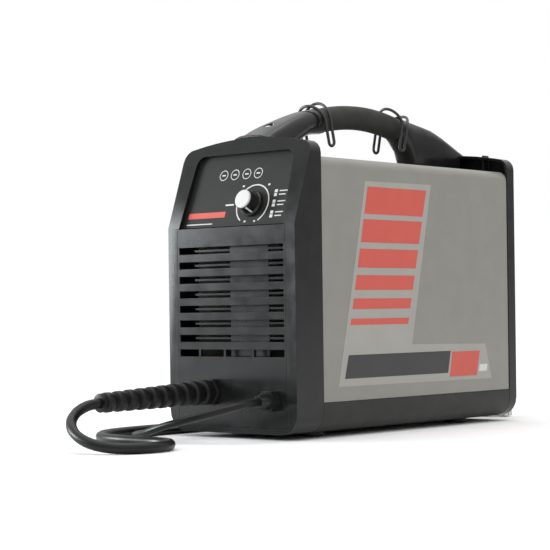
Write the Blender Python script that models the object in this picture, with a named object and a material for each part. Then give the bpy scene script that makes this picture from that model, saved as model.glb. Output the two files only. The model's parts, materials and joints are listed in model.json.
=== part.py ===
"""A portable plasma cutter: power unit, torch lead with its hand torch, work lead with its clamp.

Lengths are in millimetres and become metres when a mesh is made. X is across the unit with the
printed side at +X, the control panel faces -Y, Z is up, and the floor under the feet is Z = 0.
"""

import math

import bmesh
import bpy
from mathutils import Matrix, Vector
from mathutils.geometry import interpolate_bezier

MM = 0.001

# Overall sizes.
WIDTH = 160.0
DEPTH = 356.0
COVER_TOP = 261.0
CROWN_TOP = 282.0
GRIP_TOP = 324.0
HALF = WIDTH / 2
FRONT = -DEPTH / 2
REAR = DEPTH / 2

# Casing.
GAP = 0.3
FOOT_HEIGHT = 5.0
SKIRT_TOP = 33.0
FRONT_BEZEL_DEPTH = 38.5
REAR_BEZEL_DEPTH = 13.0
MOULDED_WALL = 3.0
SHEET = 1.2
TRAY_WALL = 2.0
CORNER_BOTTOM = 20.0
CORNER_TOP = 12.0
COVER_CORNER = 10.0
CROWN_SAG = 7.0
COVER_INSET = 0.8
RAKE_BREAK = 198.0
RAKE = math.radians(19.2)

# Front panel and its slots.
PANEL_BORDER = 12.3
PANEL_HALF = HALF - PANEL_BORDER
PANEL_BOTTOM = 11.0
SLOT_MARGIN = 2.0
SLOT_HALF = PANEL_HALF - SLOT_MARGIN
SLOT_HEIGHT = 6.8
SLOT_PITCH = 13.8
SLOT_COUNT = 8
SLOT_TOP = 179.5
RIB_PLACES = (-40.0, -8.0, 27.5)
PANEL_THICK = 3.0
WINDOW_TOP = 267.0
WINDOW_BORDER = 14.5
WINDOW_TAPER = 5.0
WINDOW_HALF = HALF - WINDOW_BORDER
WINDOW_HALF_TOP = WINDOW_HALF - WINDOW_TAPER
PLATE_THICK = 2.0
RECESS = 4.2

# Current knob.
KNOB_X = 19.0
KNOB_Z = 219.0
KNOB_RADIUS = 12.5
KNOB_CAP_RADIUS = 8.9
KNOB_LENGTH = 12.8
SHAFT_RADIUS = 3.0
SHAFT_CLEARANCE = 0.4

# Rear face.
FAN_SIZE = 92.0
FAN_DEPTH = 25.0
FAN_RIM = 3.0
FAN_BORE = FAN_SIZE / 2 - FAN_RIM
FAN_X = -18.0
FAN_Z = 130.0
FAN_BLADES = 7
GRILLE_PITCH = 7.6
GRILLE_SLOT = 4.0
BLADE_CLEARANCE = 1.5
SWITCH_X = 44.0
SWITCH_Z = 222.0
ROCKER_TILT = 10.0
GLAND_X = -48.0
GLAND_Z = 44.0
AIR_X = 44.0
FILTER_HEAD_RISE = 14.0
FILTER_CLEARANCE = 8.0
AIR_Z = FAN_Z - FAN_SIZE / 2 - FILTER_HEAD_RISE - FILTER_CLEARANCE

# Handle.
GRIP_RADIUS = 12.0
GRIP_FRONT = FRONT + 131.0
GRIP_REAR = REAR - 101.0
GRIP_CREST = 16.0
GRIP_FRONT_DROP = 7.144
GRIP_REAR_DROP = 7.628
CORE_RADIUS = 7.0
BRACKET_HALF = 12.7
BRACKET_FOOT_HALF = 22.0
BAIL_RADIUS = 17.0
BAIL_WIRE = 1.5
BAIL_DROP = 25.0
BAIL_BEND = 4.0
BAIL_SETBACK = 5.0
FRONT_BAIL_Y = GRIP_FRONT - BAIL_SETBACK
FRONT_BAIL_SPREAD = 8.0
REAR_BAIL_Y = GRIP_REAR - BAIL_SETBACK
REAR_BAIL_SPREAD = 14.0

# Leads.
TORCH_WIRE = 9.5
WORK_WIRE = 7.0
BOOT_X = -26.0
BOOT_Z = 43.0
BOOT_LENGTH = 143.0
BOOT_BASE_RADIUS = 11.8
BOOT_TIP_RADIUS = 8.8
BOOT_RIBS = 10
BOOT_DROOP = math.radians(1.6)
WORK_X = 51.0
WORK_Z = 36.0
WORK_NUT_RADIUS = 9.6
TORCH_COIL = (-170.0, 42.0)
TORCH_COIL_MEAN = 57.0
TORCH_COIL_WIDE = 30.0
TORCH_COIL_HIGH = 33.0
WORK_COIL = (-146.0, 184.0)
WORK_COIL_MEAN = 42.0
WORK_COIL_WIDE = 28.0
WORK_COIL_HIGH = 28.0
COIL_LIFT = 1.6
TIE_WIDE = 12.0
TIE_THICK = 1.2
TIE_ANGLE = math.radians(215)
TORCH_ROUTE = (
    (-26, -322, 39), (-26, -336, 37.4), (-23, -352, 32), (-13, -367, 24), (3, -376, 15.5),
    (22, -377, 9), (40, -370, 5.6), (53, -355, 4.9), (58, -336, 4.9), (53, -316, 4.9),
    (39, -301, 4.9), (18, -294, 4.9), (-6, -293, 4.9), (-32, -292, 4.9), (-58, -285, 4.9),
    (-80, -270, 4.9), (-96, -247, 4.9), (-104, -218, 4.9), (-107, -184, 4.9), (-107, -140, 4.9),
    (-106, -95, 4.9), (-103.5, -50, 4.9), (-101.5, -18, 4.9), (-101.3, 5, 4.9),
)
TORCH_TAIL = (
    (-205, 110.9, 15), (-218.4, 114.0, 13.8), (-230.0, 121.9, 13.0), (-238.0, 134.0, 13.3),
    (-241, 148.4, 14.5), (-241, 160, 14.9),
)
WORK_ROUTE = (
    (51, -199, 36), (51, -213, 35), (45, -230, 31.5), (31, -244, 26.5), (11, -252, 21),
    (-12, -255.5, 15.5), (-34, -254, 9.5), (-54, -247, 4.6), (-71, -235, 3.7), (-83, -216, 3.7),
    (-88.5, -192, 3.7), (-89, -160, 3.7), (-88, -115, 3.7), (-87.6, -60, 3.7), (-87.6, 0, 3.7),
    (-87.6, 60, 3.7), (-88, 110, 3.7), (-90.6, 150, 3.7),
)
WORK_TAIL = (
    (-93.5, 212, 12.6), (-91.4, 223.2, 12.0), (-85.2, 233.0, 11.6), (-75.6, 239.6, 11.6),
    (-66.0, 241.8, 11.9), (-60.6, 241.8, 12),
)

# Hand torch, lying on its side with its head pointing to +X.
TORCH_X = -241.0
TORCH_Y = 160.4
TORCH_RADIUS = 14.5
TORCH_LENGTH = 130.0
HEAD_RADIUS = 11.0

# Work clamp, lying flat with its jaws pointing to +X.
CLAMP_BACK = -60.0
CLAMP_TIP = 38.0
CLAMP_Y = 225.0
CLAMP_PIVOT = -4.0
CLAMP_WIDTH = 22.0
CLAMP_PIN = 3.0
CLAMP_TAB = 4.4

# The knob and the air inlet stand out of the two faces by different amounts, so the middle of the
# whole unit lies this far behind the middle of its case. All is moved by it at the end.
UNIT_SHIFT = -7.9

FRONT_SEAM = FRONT + FRONT_BEZEL_DEPTH
REAR_SEAM = REAR - REAR_BEZEL_DEPTH

MATERIALS = {
    "black_moulding": ((0.020, 0.022, 0.023), 0.36, 0.0),
    "panel_black": ((0.012, 0.012, 0.013), 0.45, 0.0),
    "charcoal_paint": ((0.045, 0.045, 0.042), 0.50, 0.0),
    "grey_paint": ((0.245, 0.235, 0.205), 0.42, 0.0),
    "rubber": ((0.020, 0.020, 0.020), 0.75, 0.0),
    "grip_rubber": ((0.055, 0.055, 0.050), 0.80, 0.0),
    "steel": ((0.55, 0.55, 0.54), 0.35, 1.0),
    "dark_wire": ((0.025, 0.025, 0.025), 0.35, 0.2),
    "brass": ((0.68, 0.50, 0.22), 0.32, 1.0),
    "copper": ((0.72, 0.36, 0.20), 0.35, 1.0),
    "aluminium": ((0.70, 0.71, 0.72), 0.42, 1.0),
    "board": ((0.03, 0.16, 0.07), 0.50, 0.0),
    "light_grey": ((0.62, 0.62, 0.60), 0.45, 0.0),
    "clear_bowl": ((0.60, 0.66, 0.68), 0.20, 0.0),
    "red_plastic": ((0.45, 0.04, 0.03), 0.40, 0.0),
}


def clear_scene():
    for obj in list(bpy.data.objects):
        bpy.data.objects.remove(obj, do_unlink=True)


def make_material(name):
    """The Principled material of this name, made once."""
    if name in bpy.data.materials:
        return bpy.data.materials[name]
    colour, roughness, metallic = MATERIALS[name]
    material = bpy.data.materials.new(name)
    material.use_nodes = True
    shader = material.node_tree.nodes["Principled BSDF"]
    shader.inputs["Base Color"].default_value = (*colour, 1.0)
    shader.inputs["Roughness"].default_value = roughness
    shader.inputs["Metallic"].default_value = metallic
    material.diffuse_color = (*colour, 1.0)
    return material


def finish(bm, name, material, smooth=True):
    """An object from a mesh in millimetres, with its faces pointing out."""
    bmesh.ops.remove_doubles(bm, verts=bm.verts, dist=0.0005)
    bmesh.ops.recalc_face_normals(bm, faces=bm.faces)
    bmesh.ops.connect_verts_nonplanar(bm, angle_limit=0.0005, faces=bm.faces)
    bmesh.ops.scale(bm, vec=(MM, MM, MM), verts=bm.verts)
    mesh = bpy.data.meshes.new(name)
    bm.to_mesh(mesh)
    bm.free()
    if smooth:
        mesh.shade_smooth()
        mesh.set_sharp_from_angle(angle=math.radians(35))
    obj = bpy.data.objects.new(name, mesh)
    bpy.context.scene.collection.objects.link(obj)
    if material:
        mesh.materials.append(make_material(material))
    return obj


def boolean(obj, bm, operation="DIFFERENCE"):
    """Cuts the shape out of the object, or joins it on, with a hidden helper."""
    helper = finish(bm, f"{obj.name}_helper", None, smooth=False)
    helper.hide_render = True
    helper.display_type = "WIRE"
    modifier = obj.modifiers.new("shape", "BOOLEAN")
    modifier.operation = operation
    modifier.solver = "EXACT"
    modifier.object = helper


def set_origin(obj, point):
    """Puts the object's origin on a point, with its shape left where it is."""
    shift = Vector(point) * MM
    obj.data.transform(Matrix.Translation(-shift))
    obj.location = shift


def loft(rings, bm=None):
    """A closed solid through rings of equal point counts."""
    bm = bm or bmesh.new()
    rows = [[bm.verts.new(point) for point in ring] for ring in rings]
    count = len(rows[0])
    for low, high in zip(rows, rows[1:]):
        for i in range(count):
            j = (i + 1) % count
            bm.faces.new((low[i], low[j], high[j], high[i]))
    bm.faces.new(rows[0][::-1])
    bm.faces.new(rows[-1])
    return bm


def prism(outline, axis, start, end, bm=None):
    """Extrudes a flat outline along X, Y or Z."""
    order = {
        "x": lambda a, b, t: (t, a, b),
        "y": lambda a, b, t: (a, t, b),
        "z": lambda a, b, t: (a, b, t),
    }[axis]
    return loft([[order(a, b, t) for a, b in outline] for t in (start, end)], bm)


def block(x0, x1, y0, y1, z0, z1, bm=None):
    return prism(((x0, y0), (x1, y0), (x1, y1), (x0, y1)), "z", z0, z1, bm)


def circle(radius, steps=24, centre=(0.0, 0.0), start=0.0):
    """The points of a circle, or of a regular polygon."""
    turn = math.tau / steps
    return [
        (centre[0] + radius * math.cos(start + i * turn),
         centre[1] + radius * math.sin(start + i * turn))
        for i in range(steps)
    ]


def rounded(x0, x1, z0, z1, radius, steps=4):
    """The outline of a rectangle with round corners."""
    radius = min(radius, (x1 - x0) / 2 - 0.01, (z1 - z0) / 2 - 0.01)
    corners = ((x1 - radius, z0 + radius, -90), (x1 - radius, z1 - radius, 0),
               (x0 + radius, z1 - radius, 90), (x0 + radius, z0 + radius, 180))
    return [
        (cx + radius * math.cos(math.radians(first + 90 * i / steps)),
         cz + radius * math.sin(math.radians(first + 90 * i / steps)))
        for cx, cz, first in corners
        for i in range(steps + 1)
    ]


def turned(profile, origin, direction, steps=24):
    """A solid turned about an axis, from (radius, distance) pairs that end on the axis or form a ring."""
    bm = bmesh.new()
    axis = Vector(direction).normalized()
    side = axis.orthogonal().normalized()
    up = axis.cross(side)
    rows = []
    for radius, distance in profile:
        centre = Vector(origin) + axis * distance
        if radius < 1e-6:
            rows.append([bm.verts.new(centre)])
            continue
        rows.append([bm.verts.new(centre + (side * c + up * s)) for c, s in circle(radius, steps)])
    pairs = list(zip(rows, rows[1:]))
    if profile[0][0] > 1e-6:
        pairs.append((rows[-1], rows[0]))
    for low, high in pairs:
        for i in range(steps):
            j = (i + 1) % steps
            corners = [low[i % len(low)], low[j % len(low)], high[j % len(high)], high[i % len(high)]]
            unique = list(dict.fromkeys(corners))
            if len(unique) > 2:
                bm.faces.new(unique)
    return bm


def sweep(points, radius, sides=8, closed=False, bm=None):
    """A round rod along a line of points, capped at its ends or closed on itself."""
    bm = bm or bmesh.new()
    path = [Vector(point) for point in points]
    count = len(path)
    tangents = []
    for i in range(count):
        before = path[i - 1] if closed or i else path[0]
        after = path[(i + 1) % count] if closed or i < count - 1 else path[-1]
        tangents.append((after - before).normalized())
    normal = tangents[0].orthogonal().normalized()
    rows = []
    for centre, tangent in zip(path, tangents):
        normal = (normal - tangent * normal.dot(tangent)).normalized()
        across = tangent.cross(normal)
        rows.append([bm.verts.new(centre + normal * c + across * s) for c, s in circle(radius, sides)])
    for low, high in zip(rows, rows[1:]):
        for i in range(sides):
            j = (i + 1) % sides
            bm.faces.new((low[i], low[j], high[j], high[i]))
    if not closed:
        bm.faces.new(rows[0][::-1])
        bm.faces.new(rows[-1])
        return bm
    first, last = rows[0], rows[-1]

    def twist(k):
        return sum((last[i].co - first[(i + k) % sides].co).length for i in range(sides))

    shift = min(range(sides), key=twist)
    for i in range(sides):
        j = (i + 1) % sides
        bm.faces.new((last[i], last[j], first[(j + shift) % sides], first[(i + shift) % sides]))
    return bm


# Casing.


def bezel_outline(inset=0.0):
    """The upright outline of a bezel: round lower corners, small upper corners and a crowned top."""
    half = HALF - inset
    bottom = FOOT_HEIGHT + inset
    low = max(CORNER_BOTTOM - inset, 1.0)
    high = max(CORNER_TOP - inset, 1.0)
    shoulder = half - high
    top = CROWN_TOP - inset
    side_top = top - CROWN_SAG - high
    right = [(half - low + low * math.sin(a), bottom + low - low * math.cos(a))
             for a in (math.radians(90 * i / 5) for i in range(6))]
    right += [(shoulder + high * math.cos(a), side_top + high * math.sin(a))
              for a in (math.radians(90 * i / 4) for i in range(5))]
    crown = [(shoulder * (1 - i / 5), top - CROWN_SAG * (1 - i / 5) ** 2) for i in range(1, 10)]
    left = [(-x, z) for x, z in reversed(right)]
    return right + crown + left


def front_profile(depth):
    """The side view of what lies behind the front face, from a depth behind it to well past the seam."""
    top = CROWN_TOP + 30
    slope = depth / math.cos(RAKE)
    knee = RAKE_BREAK - (slope - depth) / math.tan(RAKE)
    y = FRONT + depth
    back = FRONT_SEAM + 30
    return ((y, -20), (y, knee), (y + (top - knee) * math.tan(RAKE), top), (back, top), (back, -20))


def make_front_bezel():
    bezel = finish(prism(bezel_outline(), "y", FRONT, FRONT_SEAM), "front_bezel", "black_moulding")
    boolean(bezel, prism(front_profile(0.0), "x", -HALF - 10, HALF + 10), "INTERSECT")
    inside = prism(bezel_outline(MOULDED_WALL), "y", FRONT - 10, FRONT_SEAM + 10)
    hollow = finish(inside, "bezel_hollow", None)
    hollow.hide_render = True
    hollow.display_type = "WIRE"
    behind = hollow.modifiers.new("behind", "BOOLEAN")
    behind.operation = "INTERSECT"
    behind.object = finish(prism(front_profile(RECESS), "x", -HALF - 10, HALF + 10), "bezel_behind", None)
    behind.object.hide_render = True
    behind.object.display_type = "WIRE"
    cut = bezel.modifiers.new("hollow", "BOOLEAN")
    cut.object = hollow
    boolean(bezel, window_shape(GAP))
    boolean(bezel, block(-PANEL_HALF - GAP, PANEL_HALF + GAP, FRONT - 10, FRONT_SEAM + 10,
                         PANEL_BOTTOM - GAP, RAKE_BREAK - 0.5))
    return bezel


def window_shape(extra):
    """The control window: a tapered opening with round upper corners, from front to back."""
    outline = rounded(-WINDOW_HALF - extra, WINDOW_HALF + extra, RAKE_BREAK - 12, WINDOW_TOP + extra, 9.0)
    span = WINDOW_TOP - RAKE_BREAK
    narrow = (WINDOW_HALF - WINDOW_HALF_TOP) / span
    tapered = [(x - math.copysign(narrow, x) * max(0.0, z - RAKE_BREAK), z) for x, z in outline]
    return prism(tapered, "y", FRONT - 10, FRONT_SEAM + 10)


def slot_floor(index):
    return SLOT_TOP - SLOT_HEIGHT - index * SLOT_PITCH


def make_grille_panel():
    """The lower front panel: a smooth brow, eight slots and a plain lower field with two lead holes."""
    slab = block(-PANEL_HALF, PANEL_HALF, FRONT, FRONT + PANEL_THICK, PANEL_BOTTOM, RAKE_BREAK - 1.0)
    panel = finish(slab, "front_grille_panel", "black_moulding")
    slots = bmesh.new()
    for index in range(SLOT_COUNT):
        low = slot_floor(index)
        edges = [-SLOT_HALF, SLOT_HALF]
        if index == SLOT_COUNT - 1:
            edges = [-SLOT_HALF] + [x + side for x in RIB_PLACES for side in (-1.2, 1.2)] + [SLOT_HALF]
        for left, right in zip(edges[::2], edges[1::2]):
            block(left, right, FRONT - 5, FRONT + PANEL_THICK + 5, low, low + SLOT_HEIGHT, slots)
    boolean(panel, slots)
    holes = prism(circle(BOOT_BASE_RADIUS - 2.5, 24, (BOOT_X, BOOT_Z)), "y", FRONT - 5, FRONT + 10)
    prism(circle(WORK_NUT_RADIUS - 2.5, 24, (WORK_X, WORK_Z)), "y", FRONT - 5, FRONT + 10, holes)
    boolean(panel, holes)
    return panel


def make_baffle():
    """The splash baffle behind the slots: three uprights with short cross bars."""
    y0 = FRONT + PANEL_THICK + 6
    y1 = y0 + 2
    low = slot_floor(SLOT_COUNT - 1)
    baffle = finish(block(-8, 40, y0, y1, low, SLOT_TOP), "splash_baffle", "black_moulding")
    bars = bmesh.new()
    for index in range(SLOT_COUNT - 1):
        middle = slot_floor(index) + SLOT_HEIGHT / 2
        block(-54, 64, y0 + 0.2, y1 - 0.2, middle - 1, middle + 1, bars)
    boolean(baffle, bars, "UNION")
    return baffle


def panel_point(x, z, lift=0.0):
    """A point over the sloping face, with lift as its distance out of that face."""
    return Vector((x, FRONT + (z - RAKE_BREAK) * math.tan(RAKE), z)) + panel_out() * lift


def panel_out():
    return Vector((0.0, -math.cos(RAKE), math.sin(RAKE)))


def make_control_plate():
    """The printed control plate, seated behind the window of the sloping face."""
    top = WINDOW_TOP + 4.0
    low = RAKE_BREAK + 1.5
    corners = []
    for z in (low, top):
        for lift in (-RECESS - GAP, -RECESS - GAP - PLATE_THICK):
            corners.append(panel_point(0.0, z, lift))
    face_low, back_low, face_top, back_top = corners
    outline = [(p.y, p.z) for p in (face_low, face_top, back_top, back_low)]
    plate = finish(prism(outline, "x", -WINDOW_HALF - 3, WINDOW_HALF + 3), "control_plate", "panel_black")
    shaft = turned(((0, -20), (SHAFT_RADIUS + 1.5, -20), (SHAFT_RADIUS + 1.5, 20), (0, 20)),
                   panel_point(KNOB_X, KNOB_Z), panel_out())
    boolean(plate, shaft)
    return plate


def plate_lift(extra=0.0):
    """The lift of the plate's outer face, plus a distance out of it."""
    return -RECESS - GAP + extra


def make_knob():
    """The current knob: a skirted body with a bore for its shaft, and a pale cap that turns with it."""
    base = panel_point(KNOB_X, KNOB_Z, plate_lift(0.6))
    cap_radius = KNOB_CAP_RADIUS
    profile = ((0, 0), (KNOB_RADIUS, 0), (KNOB_RADIUS, 2.5), (KNOB_RADIUS - 1.5, 3.5),
               (cap_radius + 0.6, KNOB_LENGTH), (0, KNOB_LENGTH))
    knob = finish(turned(profile, base, panel_out()), "current_knob", "black_moulding")
    bore = SHAFT_RADIUS + SHAFT_CLEARANCE
    boolean(knob, turned(((0, -5), (bore, -5), (bore, 9), (0, 9)), base, panel_out(), 16))
    set_origin(knob, base)
    seat = base + panel_out() * (KNOB_LENGTH + GAP)
    cap = finish(turned(((0, 0), (cap_radius, 0), (cap_radius, 1.4), (cap_radius - 1, 2.0), (0, 2.0)),
                        seat, panel_out()), "knob_cap", "light_grey")
    set_origin(cap, base)


def make_potentiometer():
    """The potentiometer: a can behind the plate with its shaft through the plate and up into the knob."""
    back = panel_point(KNOB_X, KNOB_Z, plate_lift(-PLATE_THICK - GAP))
    reach = PLATE_THICK + 8
    profile = ((0, -10), (8, -10), (8, 0), (SHAFT_RADIUS, 0), (SHAFT_RADIUS, reach), (0, reach))
    finish(turned(profile, back, panel_out(), 20), "potentiometer", "steel")


def make_control_board():
    """The board behind the plate, with a hole round the potentiometer."""
    low, high = RAKE_BREAK + 8, WINDOW_TOP - 8
    face, back = plate_lift(-PLATE_THICK - 5), plate_lift(-PLATE_THICK - 6.6)
    points = [panel_point(0, z, lift) for z, lift in ((low, face), (high, face), (high, back), (low, back))]
    slab = prism([(p.y, p.z) for p in points], "x", -52, 52)
    board = finish(slab, "control_board", "board", smooth=False)
    hole = turned(((0, -30), (8.6, -30), (8.6, 10), (0, 10)), panel_point(KNOB_X, KNOB_Z), panel_out(), 20)
    boolean(board, hole)


def arch(inset, bottom):
    """The upside-down U of the cover, from its lower right edge over the top to its lower left edge."""
    half = HALF - COVER_INSET - inset
    radius = max(COVER_CORNER - inset, 0.5)
    top = COVER_TOP - inset
    turn = [math.radians(90 * i / 5) for i in range(6)]
    bend = [(half - radius + radius * math.cos(a), top - radius + radius * math.sin(a)) for a in turn]
    right = [(half, bottom)] + bend
    return right + [(-x, z) for x, z in reversed(right)]


def make_cover():
    """The painted steel cover: one bent sheet over the top and both sides."""
    bottom = SKIRT_TOP + GAP
    outline = arch(0.0, bottom) + arch(SHEET, bottom)[::-1]
    finish(prism(outline, "y", FRONT_SEAM + GAP, REAR_SEAM - GAP), "cover_shell", "grey_paint")


def trough(inset, top):
    """The U of the base skirt, from its upper right edge under the floor to its upper left edge."""
    half = HALF - inset
    radius = max(CORNER_BOTTOM - inset, 1.0)
    bottom = FOOT_HEIGHT + inset
    turn = [math.radians(90 * i / 5) for i in range(6)]
    bend = [(half - radius + radius * math.cos(a), bottom + radius - radius * math.sin(a)) for a in turn]
    right = [(half, top)] + bend
    return right + [(-x, z) for x, z in reversed(right)]


def make_base():
    """The folded base tray, whose sides show as the dark skirt, and its four feet."""
    outline = trough(0.0, SKIRT_TOP) + trough(TRAY_WALL, SKIRT_TOP)[::-1]
    finish(prism(outline, "y", FRONT_SEAM + GAP, REAR_SEAM - GAP), "base_tray", "charcoal_paint")
    for name, x, y in (("foot_front_left", -1, -1), ("foot_front_right", 1, -1),
                       ("foot_rear_left", -1, 1), ("foot_rear_right", 1, 1)):
        place = (x * (HALF - CORNER_BOTTOM - 16), y * (DEPTH / 2 - 62), 0)
        profile = ((0, 0), (11, 0), (12, 1), (12, FOOT_HEIGHT - GAP), (0, FOOT_HEIGHT - GAP))
        finish(turned(profile, place, (0, 0, 1)), name, "rubber")


def make_rear_bezel():
    """The rear bezel: a crowned ring, open towards the front above the cover, with a wall behind."""
    bezel = finish(prism(bezel_outline(), "y", REAR_SEAM, REAR), "rear_bezel", "black_moulding")
    boolean(bezel, prism(bezel_outline(MOULDED_WALL), "y", REAR_SEAM - 10, REAR - MOULDED_WALL))
    window = rounded(-HALF + 12, HALF - 12, FOOT_HEIGHT + 12, COVER_TOP - 8, 10)
    boolean(bezel, prism(window, "y", REAR - 20, REAR + 10))
    rib = block(48, 50, REAR_SEAM + 1, REAR - MOULDED_WALL + 1, COVER_TOP + 3, CROWN_TOP - 2)
    block(-50, -48, REAR_SEAM + 1, REAR - MOULDED_WALL + 1, COVER_TOP + 3, CROWN_TOP - 2, rib)
    boolean(bezel, rib, "UNION")


def rear_plate_face():
    return REAR - MOULDED_WALL - GAP


def make_rear_panel():
    """The steel rear panel inside the bezel, with a slotted fan grille and holes for the fittings."""
    face = rear_plate_face()
    outline = rounded(-HALF + 5, HALF - 5, FOOT_HEIGHT + 5, COVER_TOP - 3, 12)
    panel = finish(prism(outline, "y", face - 1.5, face), "rear_panel", "charcoal_paint", smooth=False)
    cuts = bmesh.new()
    most = int((FAN_BORE - GRILLE_SLOT) / GRILLE_PITCH)
    for index in range(-most, most + 1):
        rise = index * GRILLE_PITCH
        low, high = FAN_Z + rise - GRILLE_SLOT / 2, FAN_Z + rise + GRILLE_SLOT / 2
        reach = math.sqrt((FAN_BORE - GRILLE_SLOT / 2) ** 2 - rise ** 2)
        block(FAN_X - reach, FAN_X - 1.5, face - 10, face + 10, low, high, cuts)
        block(FAN_X + 1.5, FAN_X + reach, face - 10, face + 10, low, high, cuts)
    block(SWITCH_X - 11.5, SWITCH_X + 11.5, face - 10, face + 10, SWITCH_Z - 14.5, SWITCH_Z + 14.5, cuts)
    prism(circle(9.5, 24, (GLAND_X, GLAND_Z)), "y", face - 10, face + 10, cuts)
    prism(circle(7.5, 24, (AIR_X, AIR_Z)), "y", face - 10, face + 10, cuts)
    boolean(panel, cuts)


def make_fan():
    """The axial fan: a square frame with a hub on three struts, and a bladed rotor."""
    rear = rear_plate_face() - 1.5 - GAP
    front = rear - FAN_DEPTH
    half = FAN_SIZE / 2
    outline = rounded(FAN_X - half, FAN_X + half, FAN_Z - half, FAN_Z + half, 5)
    frame = finish(prism(outline, "y", front, rear), "fan_frame", "black_moulding")
    boolean(frame, prism(circle(FAN_BORE, 32, (FAN_X, FAN_Z)), "y", front - 5, rear + 5))
    hub = prism(circle(16, 20, (FAN_X, FAN_Z)), "y", front, front + 4)
    boolean(frame, hub, "UNION")
    for index in range(3):
        angle = math.radians(90 + 120 * index)
        strut = block(0, FAN_BORE + 1.0, front + 0.5, front + 3.5, -2, 2)
        turn = Matrix.Translation((FAN_X, 0, FAN_Z)) @ Matrix.Rotation(angle, 4, "Y")
        bmesh.ops.transform(strut, matrix=turn, verts=strut.verts)
        boolean(frame, strut, "UNION")
    start = front + 4 + BLADE_CLEARANCE
    hub = ((0, start), (17, start), (17, rear - 2), (0, rear - 2))
    rotor = finish(turned(hub, (FAN_X, 0, FAN_Z), (0, 1, 0), 20), "fan_rotor", "black_moulding")
    for index in range(FAN_BLADES):
        boolean(rotor, fan_blade(math.tau * index / FAN_BLADES, start, rear - 2), "UNION")
    set_origin(rotor, (FAN_X, (start + rear) / 2, FAN_Z))


def fan_blade(angle, start, end):
    """One pitched blade, from inside the rotor's hub to just short of the bore."""
    middle = (start + end) / 2
    pitch = (end - start) / 2 - 1.5
    rings = []
    for radius, twist in ((15.0, 0.8), (FAN_BORE - BLADE_CLEARANCE, 0.5)):
        lean = Vector((math.sin(twist), 0, 0))
        depth = Vector((0, math.cos(twist), 0))
        line = (lean + depth) * pitch
        thick = Vector((math.cos(twist), -math.sin(twist), 0)) * 0.8
        centre = Vector((0, middle, radius))
        rings.append([centre - line - thick, centre + line - thick,
                      centre + line + thick, centre - line + thick])
    bm = loft(rings)
    turn = Matrix.Translation((FAN_X, 0, FAN_Z)) @ Matrix.Rotation(angle, 4, "Y")
    bmesh.ops.transform(bm, matrix=turn, verts=bm.verts)
    return bm


def make_switch():
    """The rear power switch: a framed housing and a rocker that rests on its off side."""
    face = rear_plate_face()
    x, z = SWITCH_X, SWITCH_Z
    body = block(x - 11, x + 11, face - 24, face + 0.1, z - 14, z + 14)
    housing = finish(body, "power_switch", "black_moulding")
    boolean(housing, block(x - 14, x + 14, face + GAP, face + 2.0, z - 17, z + 17), "UNION")
    boolean(housing, block(x - 10.5, x + 10.5, face - 0.5, face + GAP + 0.1, z - 13.5, z + 13.5), "UNION")
    boolean(housing, block(x - 8.5, x + 8.5, face - 9, face + 6, z - 12.5, z + 12.5))
    pivot = (x, face - 2.5, z)
    y = pivot[1]
    side = ((y - 4, z - 7), (y + 4.5, z - 10.5), (y + 6.5, z - 10), (y + 4.5, z),
            (y + 6.5, z + 10), (y + 4.5, z + 10.5), (y - 4, z + 7))
    rocker = finish(prism(side, "x", x - 8, x + 8), "power_rocker", "red_plastic")
    set_origin(rocker, pivot)
    rocker.data.transform(Matrix.Rotation(math.radians(-ROCKER_TILT), 4, "X"))


def make_rear_fittings():
    """The mains gland, and the brass air inlet with its filter head and bowl inside the case."""
    face = rear_plate_face()
    gland = ((0, -12), (9.1, -12), (9.1, GAP), (13, GAP), (13, 6), (11.5, 8), (11.5, 16), (8, 22),
             (5, 22), (5, 10), (0, 10))
    finish(turned(gland, (GLAND_X, face, GLAND_Z), (0, 1, 0)), "mains_gland", "black_moulding")
    inlet = ((0, -16), (7.1, -16), (7.1, GAP), (11, GAP), (11, 6), (6, 6), (6, 12), (4.4, 12),
             (4.4, 17), (5.6, 19), (4.8, 27), (2.5, 27), (2.5, 8), (0, 8))
    finish(turned(inlet, (AIR_X, face, AIR_Z), (0, 1, 0)), "air_inlet", "brass")
    head_y = face - 16 - GAP
    head = block(AIR_X - 14, AIR_X + 14, head_y - 30, head_y, AIR_Z - 10, AIR_Z + FILTER_HEAD_RISE)
    finish(head, "air_filter_head", "aluminium", smooth=False)
    bowl_top = AIR_Z - 10 - GAP
    bowl = ((0, 0), (9, 0), (13, 5), (13, bowl_top - 13), (0, bowl_top - 13))
    finish(turned(bowl, (AIR_X, head_y - 15, 13), (0, 0, 1)), "air_filter_bowl", "clear_bowl")


# Inside the case.


def make_chassis():
    """The upright divider that carries the heatsink and the power board."""
    outline = ((-10, 8.5), (14, 8.5), (14, 10), (-8.5, 10), (-8.5, 244), (-10, 244))
    finish(prism(outline, "y", FRONT_SEAM + 22, REAR_SEAM - 42), "chassis_divider", "aluminium", smooth=False)


def make_heatsink():
    """The finned heatsink on the divider's left side."""
    fins = 8
    pitch = 10.0
    low = 130.0
    outline = [(-10.4, low), (-10.4, low + pitch * (fins - 1) + 2)]
    for index in reversed(range(fins)):
        z = low + index * pitch
        outline += [(-58, z + 2), (-58, z)]
        if index:
            outline += [(-16, z), (-16, z - pitch + 2)]
    finish(prism(outline, "y", -70, 80), "heatsink", "aluminium", smooth=False)


def make_power_board():
    """The power board, on four pillars off the divider, with two capacitors standing on it."""
    board = finish(block(-2.5, -0.9, -90, 90, 80, 232), "power_board", "board", smooth=False)
    for y in (-80, 80):
        for z in (90, 222):
            pillar = turned(((0, 0), (3, 0), (3, 6.2), (0, 6.2)), (-8.2, y, z), (1, 0, 0), 12)
            boolean(board, pillar, "UNION")
    for index, y in enumerate((-45, -8)):
        can = ((0, 0), (15, 0), (15, 43), (13.5, 45), (0, 45))
        finish(turned(can, (-0.9 + GAP, y, 190), (1, 0, 0)), f"capacitor_{index + 1}", "light_grey")


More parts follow.
